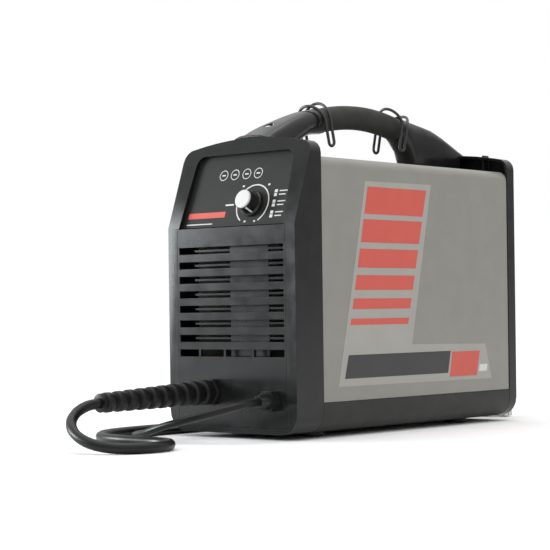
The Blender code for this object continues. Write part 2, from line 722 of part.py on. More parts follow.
def make_magnetics():
    """The main transformer on the tray, and the ring choke behind it."""
    core = finish(block(20, 62, -30, 42, 9, 65), "transformer_core", "charcoal_paint", smooth=False)
    boolean(core, block(0, 80, -16, -2, 20, 54))
    boolean(core, block(0, 80, 14, 28, 20, 54))
    outer = rounded(14, 68, -14.5, 26.5, 3, 2)
    inner = rounded(19, 63, -2.8, 14.8, 1, 2)
    winding = finish(prism(outer, "z", 20.8, 53.2), "transformer_winding", "copper")
    boolean(winding, prism(inner, "z", 10, 60))
    ring = ((11, 0), (24, 0), (24, 18), (11, 18))
    finish(turned(ring, (40, 74, 12), (0, 0, 1)), "output_choke", "copper")


def make_solenoid():
    """The gas valve: a brass body under a wound coil, beside the torch lead's inlet."""
    valve = finish(block(-46, -14, -120, -96, 12, 30), "gas_valve", "brass", smooth=False)
    boolean(valve, turned(((0, 0), (11, 0), (11, 30), (0, 30)), (-30, -108, 28), (0, 0, 1)), "UNION")


# Handle.


def grip_centre(y):
    """The height of the grip's middle line along the unit, a shallow arch that falls towards the rear."""
    end, drop = (GRIP_REAR, GRIP_REAR_DROP) if y > GRIP_CREST else (GRIP_FRONT, GRIP_FRONT_DROP)
    return GRIP_TOP - GRIP_RADIUS + 0.1 - drop * ((y - GRIP_CREST) / (end - GRIP_CREST)) ** 2


def oval(y, top, bottom, half, power=2.6, steps=16):
    """A rounded upright section across the handle."""
    middle, rise = (top + bottom) / 2, (top - bottom) / 2
    ring = []
    for i in range(steps):
        a = math.tau * i / steps
        c, s = math.cos(a), math.sin(a)
        ring.append((half * math.copysign(abs(c) ** (2 / power), c), y,
                     middle + rise * math.copysign(abs(s) ** (2 / power), s)))
    return ring


def grip_slope(y):
    return (grip_centre(y + 1) - grip_centre(y - 1)) / 2


def bracket(name, grip_end, stations, envelope):
    """A moulded handle bracket, flared from the grip's end down to a foot on the cover and over the bezel."""
    middle = grip_centre(grip_end)
    first = oval(grip_end, middle + GRIP_RADIUS + 0.6, middle - GRIP_RADIUS - 0.6, BRACKET_HALF, 2.1)
    tilted = [(x, y - grip_slope(grip_end) * (z - middle), z) for x, y, z in first]
    piece = finish(loft([tilted] + [oval(*station) for station in stations]), name, "black_moulding")
    boolean(piece, block(-60, 60, FRONT - 20, REAR + 20, 0, COVER_TOP + GAP))
    boolean(piece, envelope)
    return piece


def make_handle():
    """Two brackets, the rubber grip between them and the steel core inside the grip."""
    ys = [GRIP_FRONT + (GRIP_REAR - GRIP_FRONT) * i / 14 for i in range(15)]
    line = [(0, y, grip_centre(y)) for y in ys]
    grip = finish(sweep(line, GRIP_RADIUS, 20), "handle_grip", "grip_rubber")
    start, end = GRIP_FRONT + 0.5, GRIP_REAR - 0.5
    inner = [(0, start - 6, grip_centre(start - 6))] + line[1:-1] + [(0, end + 6, grip_centre(end + 6))]
    boolean(grip, sweep(inner, CORE_RADIUS + GAP, 14))
    core = [(0, start, grip_centre(start))] + line[1:-1] + [(0, end, grip_centre(end))]
    finish(sweep(core, CORE_RADIUS, 14), "handle_core", "steel")
    low = COVER_TOP - 2
    foot = BRACKET_FOOT_HALF
    front = ((115, 314.6, 290.5, 13.2, 2.3), (102, 312.2, 286.5, 14.4, 2.6),
             (88, 307.6, 280, 16.4, 3.0), (74, 302.4, 270, 18.4, 3.2),
             (60, 297.2, low, 20.2, 3.4), (48, 292.0, low, 21.4, 3.4),
             (37, 286.6, low, foot, 3.4), (29.6, 284.6, low, foot + 0.6, 3.4))
    rear = ((88, 315.6, 277, 13.0, 2.4), (81, 314.0, low, 13.4, 2.8), (66, 311.0, low, 14.6, 3.0),
            (50, 307.6, low, 16.4, 3.2), (38, 302.6, low, 18.2, 3.4), (24, 295.2, low, 20.0, 3.4),
            (12, 288.8, low, 21.2, 3.4), (3, 284.6, low, foot, 3.4))
    front = [(FRONT + behind, *section) for behind, *section in front]
    rear = [(REAR - before, *section) for before, *section in rear]
    front_shell = prism(bezel_outline(-GAP), "y", FRONT - 20, FRONT_SEAM + GAP)
    rear_shell = prism(bezel_outline(-GAP), "y", REAR_SEAM - GAP, REAR + 20)
    front_piece = bracket("handle_front_bracket", GRIP_FRONT - 0.4, front, front_shell)
    rear_piece = bracket("handle_rear_bracket", GRIP_REAR + 0.4, rear, rear_shell)
    for piece, y, name, top in ((front_piece, FRONT + 58, "handle_screw_front", 296.4),
                                (rear_piece, REAR - 32, "handle_screw_rear", 299.4)):
        boolean(piece, turned(((0, 0), (5.5, 0), (5.5, 20), (0, 20)), (0, y, top - 5), (0, 0, 1), 20))
        boolean(piece, turned(((0, 0), (2.8, 0), (2.8, 40), (0, 40)), (0, y, top - 30), (0, 0, 1), 12))
        seat = 24.8 + GAP
        screw = ((0, 0), (2.4, 0), (2.4, seat), (4.8, seat), (4.8, 27.5), (3.6, 28.4), (0, 28.4))
        finish(turned(screw, (0, y, top - 29.8), (0, 0, 1), 16), name, "steel")


def bail_points(widest):
    """One closed wire: over the top, down and round one side's bend, and back over to the other side's."""
    points = []
    for side in (1, -1):
        for i in range(7):
            a = math.radians(90 * i / 6)
            spread = BAIL_BEND + (widest - BAIL_BEND) * math.cos(a) ** 2
            points.append((side * BAIL_RADIUS * math.sin(a), side * spread, BAIL_RADIUS * math.cos(a)))
        for i in range(7):
            a = math.radians(180 * i / 6)
            height = -BAIL_DROP + BAIL_BEND - BAIL_BEND * math.sin(a)
            points.append((side * BAIL_RADIUS, side * BAIL_BEND * math.cos(a), height))
        for i in reversed(range(1, 7)):
            a = math.radians(90 * i / 6)
            spread = BAIL_BEND + (widest - BAIL_BEND) * math.cos(a) ** 2
            points.append((side * BAIL_RADIUS * math.sin(a), -side * spread, BAIL_RADIUS * math.cos(a)))
    return points


def make_bails():
    """Two closed wire bails that saddle the grip and hang down both its sides."""
    for name, y, widest in (("front_bail", FRONT_BAIL_Y, FRONT_BAIL_SPREAD),
                            ("rear_bail", REAR_BAIL_Y, REAR_BAIL_SPREAD)):
        bail = finish(sweep(bail_points(widest), BAIL_WIRE, 8, closed=True), name, "dark_wire")
        bail.data.transform(Matrix.Rotation(math.atan(grip_slope(y)), 4, "X"))
        bail.location = Vector((0, y, grip_centre(y))) * MM


# Leads.


def smooth_route(points, step):
    """Points along a smooth curve through a route's own points, about one step apart."""
    path = [Vector(point) for point in points]
    curve = []
    for i in range(len(path) - 1):
        start, end = path[i], path[i + 1]
        before = path[i - 1] if i else start
        after = path[i + 2] if i + 2 < len(path) else end
        third = (end - start).length / 3
        out = (end - before).normalized() * third
        into = (after - start).normalized() * third
        curve += interpolate_bezier(start, start + out, end - into, end, 25)[:-1]
    curve.append(path[-1])
    kept = [curve[0]]
    run = 0.0
    for before, point in zip(curve, curve[1:]):
        run += (point - before).length
        if run >= step:
            kept.append(point)
            run = 0.0
    if (kept[-1] - curve[-1]).length < step / 2:
        kept.pop()
    return kept + [curve[-1]]


def make_lead(name, route, diameter):
    """A free lead as a bevelled curve, with a point every two and a half diameters."""
    curve = bpy.data.curves.new(name, "CURVE")
    curve.dimensions = "3D"
    curve.bevel_depth = diameter / 2 * MM
    curve.bevel_resolution = 2
    curve.use_fill_caps = True
    points = smooth_route(route, diameter * 2.5)
    spline = curve.splines.new("POLY")
    spline.points.add(len(points) - 1)
    for target, point in zip(spline.points, points):
        target.co = (*(point * MM), 1.0)
    curve.materials.append(make_material("rubber"))
    obj = bpy.data.objects.new(name, curve)
    bpy.context.scene.collection.objects.link(obj)


def make_coil(name, centre, mean, wide, high, material="rubber"):
    """A round coil's outer shape, and the tie round its bundle on the side away from the unit."""
    half, bevel = wide / 2, 6.0
    low, top = COIL_LIFT, COIL_LIFT + high
    near, far = mean - half, mean + half
    profile = ((near + bevel, low), (far - bevel, low), (far, low + bevel), (far, top - bevel),
               (far - bevel, top), (near + bevel, top), (near, top - bevel), (near, low + bevel))
    finish(turned(profile, (*centre, 0), (0, 0, 1), 40), name, material)
    inner_side = math.sqrt(near ** 2 - (TIE_WIDE / 2) ** 2) - GAP - 0.2
    outer_side = far + GAP
    outer = rounded(inner_side - TIE_THICK, outer_side + TIE_THICK, low - GAP - TIE_THICK + 0.05,
                    top + GAP + TIE_THICK, 5, 3)
    inner = rounded(inner_side, outer_side, low - GAP, top + GAP, 4, 3)
    tie = finish(prism(outer, "y", -TIE_WIDE / 2, TIE_WIDE / 2), f"{name}_tie", "rubber")
    hole = prism(inner, "y", -TIE_WIDE, TIE_WIDE)
    place = Matrix.Translation((*centre, 0)) @ Matrix.Rotation(TIE_ANGLE, 4, "Z")
    bmesh.ops.transform(hole, matrix=place, verts=hole.verts)
    shift = Matrix.Translation(Vector((*centre, 0)) * MM)
    tie.data.transform(shift @ Matrix.Rotation(TIE_ANGLE, 4, "Z"))
    boolean(tie, hole)


def make_torch_boot():
    """The ribbed strain relief of the torch lead, and the hex collar that holds it to the panel."""
    out = Vector((0, -math.cos(BOOT_DROOP), -math.sin(BOOT_DROOP)))
    base = Vector((BOOT_X, FRONT - 6.0, BOOT_Z))
    collar = turned(((0, -18), (BOOT_BASE_RADIUS - 2.9, -18), (BOOT_BASE_RADIUS - 2.9, 2), (0, 2)),
                    (BOOT_X, FRONT, BOOT_Z), (0, -1, 0))
    nut = finish(collar, "torch_gland", "black_moulding")
    flats = circle(BOOT_BASE_RADIUS + 2.0, 6, (BOOT_X, BOOT_Z))
    boolean(nut, prism(flats, "y", FRONT - 5.6, FRONT - GAP), "UNION")
    length = BOOT_LENGTH - 6.0
    profile = [(0, 0), (BOOT_BASE_RADIUS, 0)]
    pitch = length / BOOT_RIBS
    for i in range(BOOT_RIBS):
        share = i / BOOT_RIBS
        rib = BOOT_BASE_RADIUS + (BOOT_TIP_RADIUS - BOOT_BASE_RADIUS) * share
        profile += [(rib, pitch * (i + 0.62)), (rib - 2.2, pitch * (i + 0.66)),
                    (rib - 2.2, pitch * (i + 0.96)), (rib - 0.3, pitch * (i + 1))]
    profile += [(0, length)]
    finish(turned(profile, base, out, 18), "torch_boot", "rubber")


def make_work_gland():
    """The screwed gland of the work lead: a dark nut on a body through the panel, and a short sleeve."""
    neck = WORK_NUT_RADIUS - 2.9
    body = turned(((0, -14), (neck, -14), (neck, 2), (0, 2)), (WORK_X, FRONT, WORK_Z), (0, -1, 0))
    gland = finish(body, "work_gland", "black_moulding")
    flats = circle(WORK_NUT_RADIUS + 1.0, 6, (WORK_X, WORK_Z))
    boolean(gland, prism(flats, "y", FRONT - 9, FRONT - GAP), "UNION")
    sleeve = ((0, 8), (WORK_NUT_RADIUS - 1.5, 8), (WORK_NUT_RADIUS - 2.4, 14), (5.4, 20.6), (0, 20.6))
    boolean(gland, turned(sleeve, (WORK_X, FRONT, WORK_Z), (0, -1, 0)), "UNION")


def make_torch():
    """The hand torch: moulded handle, bent head, shield cup, sprung trigger and its flip-up safety."""
    x, y, z = TORCH_X, TORCH_Y, TORCH_RADIUS + 0.4
    body = ((0, 0), (7, 0), (9.5, 14), (12.5, 22), (TORCH_RADIUS - 1, 50), (TORCH_RADIUS, 85),
            (TORCH_RADIUS - 1.5, 108), (11.5, 122), (11.5, TORCH_LENGTH), (0, TORCH_LENGTH))
    handle = finish(turned(body, (x, y, z), (0, 1, 0), 20), "torch_handle", "black_moulding")
    boolean(handle, block(x + 4.5, x + 20, y + 78, y + 114, z - 4.6, z + 4.6))
    neck_y = y + TORCH_LENGTH + GAP
    path = [(x, neck_y, z), (x, neck_y + 8, z), (x + 2.5, neck_y + 15, z), (x + 8, neck_y + 20.5, z),
            (x + 16, neck_y + 23, z), (x + 26, neck_y + 23, z)]
    finish(sweep(path, HEAD_RADIUS, 18), "torch_head", "black_moulding")
    tip = (x + 26 + GAP, neck_y + 23, z)
    cup = ((0, 0), (9.6, 0), (9.6, 9), (8, 15), (4.6, 19), (0, 19))
    finish(turned(cup, tip, (1, 0, 0), 20), "torch_cup", "brass")
    pivot = (x + 10.8, y + 111, z)
    lever = ((pivot[0] - 1.3, y + 82), (pivot[0] + 4.6, y + 80), (pivot[0] + 7.0, y + 88),
             (pivot[0] + 4.4, y + 104), (pivot[0] + 2.0, y + 112.5), (pivot[0] - 1.3, y + 112.5))
    trigger = finish(prism(lever, "z", z - 4.0, z + 4.0), "torch_trigger", "red_plastic")
    set_origin(trigger, pivot)
    hinge = (x + 13.2, y + 74, z)
    catch = ((hinge[0] - 0.8, y + 73), (hinge[0] + 3.4, y + 72.4), (hinge[0] + 5.4, y + 76),
             (hinge[0] + 4.6, y + 77.6), (hinge[0] - 0.2, y + 75))
    safety = finish(prism(catch, "z", z - 4.0, z + 4.0), "torch_safety", "red_plastic")
    set_origin(safety, hinge)
    boolean(handle, block(x + 10.6, x + 22, y + 69, y + 79, z - 4.6, z + 4.6))


def jaw_outline(side):
    """One half of the clamp from above: a jaw that meets the middle at its tip, and a handle that spreads."""
    back, tip, pivot = CLAMP_BACK, CLAMP_TIP, CLAMP_PIVOT
    outer = ((tip, 0.4), (tip, 7), (tip - 14, 12), (pivot + 8, 14), (pivot - 6, 15.5),
             (back + 24, 20), (back, 19.5))
    inner = ((back, 14), (back + 24, 14.5), (pivot - 9, 10), (pivot - 8, 7.8), (pivot + 8, 7.8),
             (pivot + 11, 6.5), (tip - 12, 6.0), (tip - 7, 0.4))
    return [(x, CLAMP_Y + side * y) for x, y in outer + inner]


def make_clamp():
    """The work clamp: a fixed half that holds the lead, a half that opens about the pin, and the pin."""
    z0 = 1.0
    z1 = z0 + CLAMP_WIDTH
    tab = 4.5
    for name, side, low, high in (("clamp_fixed", 1, z0, z0 + tab), ("clamp_moving", -1, z1 - tab, z1)):
        piece = finish(prism(jaw_outline(side), "z", z0, z1), name, "steel", smooth=False)
        reach = sorted((CLAMP_Y - side * (CLAMP_TAB + 1.0), CLAMP_Y + side * 9.0))
        boolean(piece, block(CLAMP_PIVOT - CLAMP_TAB, CLAMP_PIVOT + CLAMP_TAB, *reach, low, high), "UNION")
        bore = CLAMP_PIN + GAP
        drill = ((0, -5), (bore, -5), (bore, 40), (0, 40))
        boolean(piece, turned(drill, (CLAMP_PIVOT, CLAMP_Y, 0), (0, 0, 1), 20))
        set_origin(piece, (CLAMP_PIVOT, CLAMP_Y, z0))
    pin = ((0, z0), (CLAMP_PIN, z0), (CLAMP_PIN, z1), (0, z1))
    finish(turned(pin, (CLAMP_PIVOT, CLAMP_Y, 0), (0, 0, 1), 20), "clamp_pin", "steel")


def build():
    clear_scene()
    make_front_bezel()
    make_grille_panel()
    make_baffle()
    make_control_plate()
    make_knob()
    make_potentiometer()
    make_control_board()
    make_cover()
    make_base()
    make_rear_bezel()
    make_rear_panel()
    make_fan()
    make_switch()
    make_rear_fittings()
    make_chassis()
    make_heatsink()
    make_power_board()
    make_magnetics()
    make_solenoid()
    make_handle()
    make_bails()
    make_torch_boot()
    make_work_gland()
    make_lead("torch_lead", TORCH_ROUTE, TORCH_WIRE)
    make_lead("torch_lead_tail", TORCH_TAIL, TORCH_WIRE)
    make_lead("work_lead", WORK_ROUTE, WORK_WIRE)
    make_lead("work_lead_tail", WORK_TAIL, WORK_WIRE)
    make_coil("torch_coil", TORCH_COIL, TORCH_COIL_MEAN, TORCH_COIL_WIDE, TORCH_COIL_HIGH)
    make_coil("work_coil", WORK_COIL, WORK_COIL_MEAN, WORK_COIL_WIDE, WORK_COIL_HIGH)
    make_torch()
    make_clamp()
    for obj in bpy.data.objects:
        obj.location.y += UNIT_SHIFT * MM


build()
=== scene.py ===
# %% [markdown]
# # A portable plasma cutter
#
# This lesson finishes a small plasma cutting unit: a black moulded front and rear, a bent grey steel
# cover, a rubber handle, a hand torch on its lead and a work clamp on its own. The exact shapes come
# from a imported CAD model. Here those shapes get rounded edges, real finishes, printed stripes and light.

# %% Load the frame
import json
import math

import bmesh
import bpy
from mathutils import Matrix, Vector

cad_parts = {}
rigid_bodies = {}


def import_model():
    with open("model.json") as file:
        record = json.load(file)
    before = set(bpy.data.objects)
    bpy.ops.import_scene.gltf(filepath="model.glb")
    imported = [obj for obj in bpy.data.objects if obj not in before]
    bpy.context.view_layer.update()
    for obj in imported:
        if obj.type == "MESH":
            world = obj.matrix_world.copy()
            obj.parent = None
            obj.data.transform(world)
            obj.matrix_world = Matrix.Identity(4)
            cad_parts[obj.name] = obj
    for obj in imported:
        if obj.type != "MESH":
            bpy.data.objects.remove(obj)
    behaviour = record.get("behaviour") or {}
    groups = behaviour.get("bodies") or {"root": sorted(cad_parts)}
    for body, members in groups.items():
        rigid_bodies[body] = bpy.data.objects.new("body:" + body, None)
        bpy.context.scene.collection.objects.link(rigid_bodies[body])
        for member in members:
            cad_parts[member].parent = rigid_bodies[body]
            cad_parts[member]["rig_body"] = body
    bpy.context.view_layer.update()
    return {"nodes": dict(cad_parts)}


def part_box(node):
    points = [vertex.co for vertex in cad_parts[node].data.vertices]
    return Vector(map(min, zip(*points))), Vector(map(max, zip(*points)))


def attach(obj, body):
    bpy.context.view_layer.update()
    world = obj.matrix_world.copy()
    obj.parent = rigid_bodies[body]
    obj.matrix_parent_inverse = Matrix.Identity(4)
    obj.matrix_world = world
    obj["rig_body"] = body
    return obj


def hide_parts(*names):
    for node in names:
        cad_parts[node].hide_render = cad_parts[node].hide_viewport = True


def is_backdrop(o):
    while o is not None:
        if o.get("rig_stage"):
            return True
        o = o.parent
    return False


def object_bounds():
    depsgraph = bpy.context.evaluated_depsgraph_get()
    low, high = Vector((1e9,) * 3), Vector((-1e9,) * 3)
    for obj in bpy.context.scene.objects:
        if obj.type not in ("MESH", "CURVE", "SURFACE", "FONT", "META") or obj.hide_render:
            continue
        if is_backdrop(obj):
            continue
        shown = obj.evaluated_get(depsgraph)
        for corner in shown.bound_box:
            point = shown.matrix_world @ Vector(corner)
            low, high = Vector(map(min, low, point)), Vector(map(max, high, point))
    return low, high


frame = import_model()
print("pieces in the frame:", len(frame["nodes"]))

# %% [markdown]
# ## Sizes
#
# It is easier to think in millimetres, measured from the middle of the case. One matrix then carries a
# finished shape to the frame, so no size is converted anywhere else.

# %% Sizes that several pieces share
MM = 0.001
HALF_WIDTH = 80.0
FRONT = -178.0
RAKE_BREAK = 198.0
RAKE = math.radians(19.2)
CASE_Y = (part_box("front_bezel")[0].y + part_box("rear_bezel")[1].y) / 2 / MM
TO_FRAME = Matrix.Scale(MM, 4) @ Matrix.Translation((0.0, CASE_Y, 0.0))
print(f"the middle of the case lies {CASE_Y:.2f} mm along Y")

# %% [markdown]
# ## Camera
#
# A long lens from far off keeps lines nearly parallel, as in a catalogue picture. The camera looks level,
# so the uprights don't converge, and a small vertical shift keeps the unit near the middle of the frame.

# %% Place the camera
CAMERA_PLACE = TO_FRAME @ Vector((1114.5, -1387.8, 118.2))
CAMERA_AIM = Vector((-0.6588, 0.7523, 0.0))
camera_data = bpy.data.cameras.new("studio_camera")
camera_data.lens = 115.6
camera_data.sensor_width = 36.0
camera_data.shift_y = 0.0655
camera = bpy.data.objects.new("studio_camera", camera_data)
bpy.context.scene.collection.objects.link(camera)
turn = CAMERA_AIM.to_track_quat("-Z", "Y").to_matrix().to_4x4()
roll = Matrix.Rotation(math.radians(-0.767), 4, "Z")
camera.matrix_world = Matrix.Translation(CAMERA_PLACE) @ turn @ roll
bpy.context.scene.camera = camera
print("camera at", [round(value, 3) for value in CAMERA_PLACE])

# %% [markdown]
# ## Shared surface effects
#
# Moulded plastic, powder paint and rubber all have a fine grain and an uneven gloss. Some have rubbed
# edges too, lightened partly as wear and partly as a painted highlight, or a little dust on what faces up.
# Each effect is a node group, placed where it is needed.

# %% Helper for a node group
def start_group(name, inputs, outputs):
    group = bpy.data.node_groups.new(name, "ShaderNodeTree")
    for label, value in inputs:
        socket = group.interface.new_socket(label, in_out="INPUT", socket_type="NodeSocketFloat")
        socket.default_value = value
    for label, kind in outputs:
        group.interface.new_socket(label, in_out="OUTPUT", socket_type=kind)
    return group, group.nodes.new("NodeGroupInput"), group.nodes.new("NodeGroupOutput")


def spotted(group, detail=3.0):
    """A noise texture on the piece's own coordinates."""
    place = group.nodes.new("ShaderNodeTexCoord")
    noise = group.nodes.new("ShaderNodeTexNoise")
    noise.inputs["Detail"].default_value = detail
    group.links.new(place.outputs["Object"], noise.inputs["Vector"])
    return noise


# %% Fine grain, as a bumped normal
grain_group, grain_in, grain_out = start_group(
    "fine_grain", (("Scale", 1200.0), ("Depth", 0.2)), (("Normal", "NodeSocketVector"),))
grain_noise = spotted(grain_group, 4.0)
grain_bump = grain_group.nodes.new("ShaderNodeBump")
grain_bump.inputs["Distance"].default_value = 0.0001
grain_group.links.new(grain_in.outputs["Scale"], grain_noise.inputs["Scale"])
grain_group.links.new(grain_in.outputs["Depth"], grain_bump.inputs["Strength"])
grain_group.links.new(grain_noise.outputs["Fac"], grain_bump.inputs["Height"])
grain_group.links.new(grain_bump.outputs["Normal"], grain_out.inputs["Normal"])
print("made the grain")

# %% Uneven gloss, as a roughness between two values
gloss_group, gloss_in, gloss_out = start_group(
    "uneven_gloss", (("Scale", 60.0), ("Low", 0.3), ("High", 0.5)), (("Roughness", "NodeSocketFloat"),))
gloss_noise = spotted(gloss_group, 5.0)
gloss_range = gloss_group.nodes.new("ShaderNodeMapRange")
gloss_range.inputs["From Min"].default_value = 0.3
gloss_range.inputs["From Max"].default_value = 0.7
gloss_group.links.new(gloss_in.outputs["Scale"], gloss_noise.inputs["Scale"])
gloss_group.links.new(gloss_noise.outputs["Fac"], gloss_range.inputs["Value"])
gloss_group.links.new(gloss_in.outputs["Low"], gloss_range.inputs["To Min"])
gloss_group.links.new(gloss_in.outputs["High"], gloss_range.inputs["To Max"])
gloss_group.links.new(gloss_range.outputs["Result"], gloss_out.inputs["Roughness"])
print("made the uneven gloss")

# %% Rubbed edges with a painted edge highlight, as a mask
# Convex edges get a lighter colour: partly wear, partly a painted highlight along the edge.
edge_wear_and_highlight_group, edge_wear_and_highlight_in, edge_wear_and_highlight_out = start_group(
    "rubbed_and_highlit_edges", (("Amount", 0.3), ("Scale", 220.0)), (("Mask", "NodeSocketFloat"),))
edge_wear_and_highlight_shape = edge_wear_and_highlight_group.nodes.new("ShaderNodeNewGeometry")
edge_wear_and_highlight_range = edge_wear_and_highlight_group.nodes.new("ShaderNodeMapRange")
edge_wear_and_highlight_range.inputs["From Min"].default_value = 0.52
edge_wear_and_highlight_range.inputs["From Max"].default_value = 0.62
edge_wear_and_highlight_noise = spotted(edge_wear_and_highlight_group, 5.0)
edge_wear_and_highlight_break = edge_wear_and_highlight_group.nodes.new("ShaderNodeMath")
edge_wear_and_highlight_break.operation = "MULTIPLY"
edge_wear_and_highlight_scale = edge_wear_and_highlight_group.nodes.new("ShaderNodeMath")
edge_wear_and_highlight_scale.operation = "MULTIPLY"
edge_wear_and_highlight_group.links.new(edge_wear_and_highlight_shape.outputs["Pointiness"], edge_wear_and_highlight_range.inputs["Value"])
edge_wear_and_highlight_group.links.new(edge_wear_and_highlight_in.outputs["Scale"], edge_wear_and_highlight_noise.inputs["Scale"])
edge_wear_and_highlight_group.links.new(edge_wear_and_highlight_range.outputs["Result"], edge_wear_and_highlight_break.inputs[0])
edge_wear_and_highlight_group.links.new(edge_wear_and_highlight_noise.outputs["Fac"], edge_wear_and_highlight_break.inputs[1])
edge_wear_and_highlight_group.links.new(edge_wear_and_highlight_break.outputs["Value"], edge_wear_and_highlight_scale.inputs[0])
edge_wear_and_highlight_group.links.new(edge_wear_and_highlight_in.outputs["Amount"], edge_wear_and_highlight_scale.inputs[1])
edge_wear_and_highlight_group.links.new(edge_wear_and_highlight_scale.outputs["Value"], edge_wear_and_highlight_out.inputs["Mask"])
print("made the rubbed edges")

# %% Settled dust, as a mask
dust_group, dust_in, dust_out = start_group(
    "settled_dust", (("Amount", 0.1), ("Scale", 40.0)), (("Mask", "NodeSocketFloat"),))
dust_shape = dust_group.nodes.new("ShaderNodeNewGeometry")
dust_split = dust_group.nodes.new("ShaderNodeSeparateXYZ")
dust_range = dust_group.nodes.new("ShaderNodeMapRange")
dust_range.inputs["From Min"].default_value = 0.6
dust_noise = spotted(dust_group, 6.0)
dust_break = dust_group.nodes.new("ShaderNodeMath")
dust_break.operation = "MULTIPLY"
dust_scale = dust_group.nodes.new("ShaderNodeMath")
dust_scale.operation = "MULTIPLY"
dust_group.links.new(dust_shape.outputs["Normal"], dust_split.inputs["Vector"])
dust_group.links.new(dust_split.outputs["Z"], dust_range.inputs["Value"])
dust_group.links.new(dust_in.outputs["Scale"], dust_noise.inputs["Scale"])
dust_group.links.new(dust_range.outputs["Result"], dust_break.inputs[0])
dust_group.links.new(dust_noise.outputs["Fac"], dust_break.inputs[1])
dust_group.links.new(dust_break.outputs["Value"], dust_scale.inputs[0])
dust_group.links.new(dust_in.outputs["Amount"], dust_scale.inputs[1])
dust_group.links.new(dust_scale.outputs["Value"], dust_out.inputs["Mask"])
print("made the dust")

# %% [markdown]
# ## Finishes
#
# One helper makes each finish from those effects. The shader itself stays in the material, with its
# plain numbers on its own sockets, so that it survives an export.

# %% Helper for a finish
def make_finish(name, colour, gloss, metallic=0.0, grain=(1200.0, 0.2), worn_and_highlit_colour=None, edge_wear_and_highlight=0.0, dust=0.0,
                patch=60.0, coat=0.0, variation=0.12, shine=0.5):
    material = bpy.data.materials.new(name)
    material.use_nodes = True
    nodes, links = material.node_tree.nodes, material.node_tree.links
    shader = nodes["Principled BSDF"]
    shader.inputs["Metallic"].default_value = metallic
    shader.inputs["Specular IOR Level"].default_value = shine
    shader.inputs["Coat Weight"].default_value = coat
    shader.inputs["Coat Roughness"].default_value = 0.12

    def place(group, **values):
        node = nodes.new("ShaderNodeGroup")
        node.node_tree = group
        for label, value in values.items():
            node.inputs[label].default_value = value
        return node

    def blend(mask, first, second):
        mix = nodes.new("ShaderNodeMix")
        mix.data_type = "RGBA"
        links.new(mask, mix.inputs[0])
        for socket, value in ((mix.inputs[6], first), (mix.inputs[7], second)):
            if isinstance(value, tuple):
                socket.default_value = (*value, 1.0)
            else:
                links.new(value, socket)
        return mix.outputs[2]

    shade = place(gloss_group, Scale=patch * 0.7, Low=0.0, High=1.0)
    deep = tuple(c * (1.0 - variation) for c in colour)
    pale = tuple(min(1.0, c * (1.0 + variation)) for c in colour)
    body = blend(shade.outputs["Roughness"], deep, pale)
    # Convex edges are lightened, partly as wear and partly as a painted highlight.
    if edge_wear_and_highlight:
        rubbed_and_highlit = place(edge_wear_and_highlight_group, Amount=edge_wear_and_highlight)
        body = blend(rubbed_and_highlit.outputs["Mask"], body, worn_and_highlit_colour or tuple(min(1.0, c * 3 + 0.03) for c in colour))
    if dust:
        settled = place(dust_group, Amount=dust)
        body = blend(settled.outputs["Mask"], body, (0.42, 0.40, 0.37))
    links.new(body, shader.inputs["Base Color"])
    uneven = place(gloss_group, Scale=patch, Low=gloss[0], High=gloss[1])
    links.new(uneven.outputs["Roughness"], shader.inputs["Roughness"])
    surface = place(grain_group, Scale=grain[0], Depth=grain[1])
    links.new(surface.outputs["Normal"], shader.inputs["Normal"])
    return material


# %% Make every finish
# The worn colour on a finish lightens its convex edges, partly as wear and partly as a painted highlight.
FINISHES = {
    "black_moulding": make_finish("black_moulding_finish", (0.0085, 0.0090, 0.0086), (0.19, 0.27),
                                  grain=(1500, 0.09), edge_wear_and_highlight=0.35, worn_and_highlit_colour=(0.05, 0.05, 0.05), dust=0.03,
                                  shine=0.34),
    "panel_black": make_finish("panel_black_finish", (0.017, 0.018, 0.016), (0.42, 0.52), grain=(2600, 0.10),
                               shine=0.25),
    "charcoal_paint": make_finish("charcoal_paint_finish", (0.018, 0.018, 0.016), (0.36, 0.48),
                                  grain=(1800, 0.22), edge_wear_and_highlight=0.3, worn_and_highlit_colour=(0.07, 0.07, 0.07), shine=0.3),
    "grey_paint": make_finish("grey_paint_finish", (0.228, 0.222, 0.200), (0.34, 0.44), grain=(1700, 0.14),
                              edge_wear_and_highlight=0.2, worn_and_highlit_colour=(0.42, 0.41, 0.38), dust=0.08, variation=0.04, coat=0.15),
    "rubber": make_finish("rubber_finish", (0.0065, 0.0066, 0.0064), (0.30, 0.44), grain=(900, 0.14),
                          dust=0.03, shine=0.28),
    "grip_rubber": make_finish("grip_rubber_finish", (0.030, 0.031, 0.028), (0.66, 0.80),
                               grain=(2200, 0.40), dust=0.06, shine=0.3),
    "steel": make_finish("steel_finish", (0.58, 0.58, 0.57), (0.22, 0.38), 1.0, grain=(700, 0.12),
                         variation=0.06),
    "dark_wire": make_finish("dark_wire_finish", (0.022, 0.022, 0.022), (0.28, 0.40), grain=(1500, 0.12),
                             edge_wear_and_highlight=0.3),
    "brass": make_finish("brass_finish", (0.68, 0.49, 0.21), (0.22, 0.36), 1.0, grain=(600, 0.12)),
    "copper": make_finish("copper_finish", (0.72, 0.34, 0.18), (0.25, 0.40), 1.0, grain=(900, 0.20)),
    "aluminium": make_finish("aluminium_finish", (0.70, 0.71, 0.72), (0.32, 0.46), 1.0, grain=(900, 0.16)),
    "board": make_finish("board_finish", (0.03, 0.16, 0.07), (0.35, 0.55), grain=(1200, 0.15)),
    "light_grey": make_finish("light_grey_finish", (0.60, 0.61, 0.59), (0.36, 0.48), grain=(1800, 0.10),
                              variation=0.03),
    "clear_bowl": make_finish("clear_bowl_finish", (0.60, 0.66, 0.68), (0.12, 0.22), grain=(500, 0.05)),
    "red_plastic": make_finish("red_plastic_finish", (0.50, 0.06, 0.04), (0.30, 0.42), grain=(1500, 0.12),
                               edge_wear_and_highlight=0.2),
}
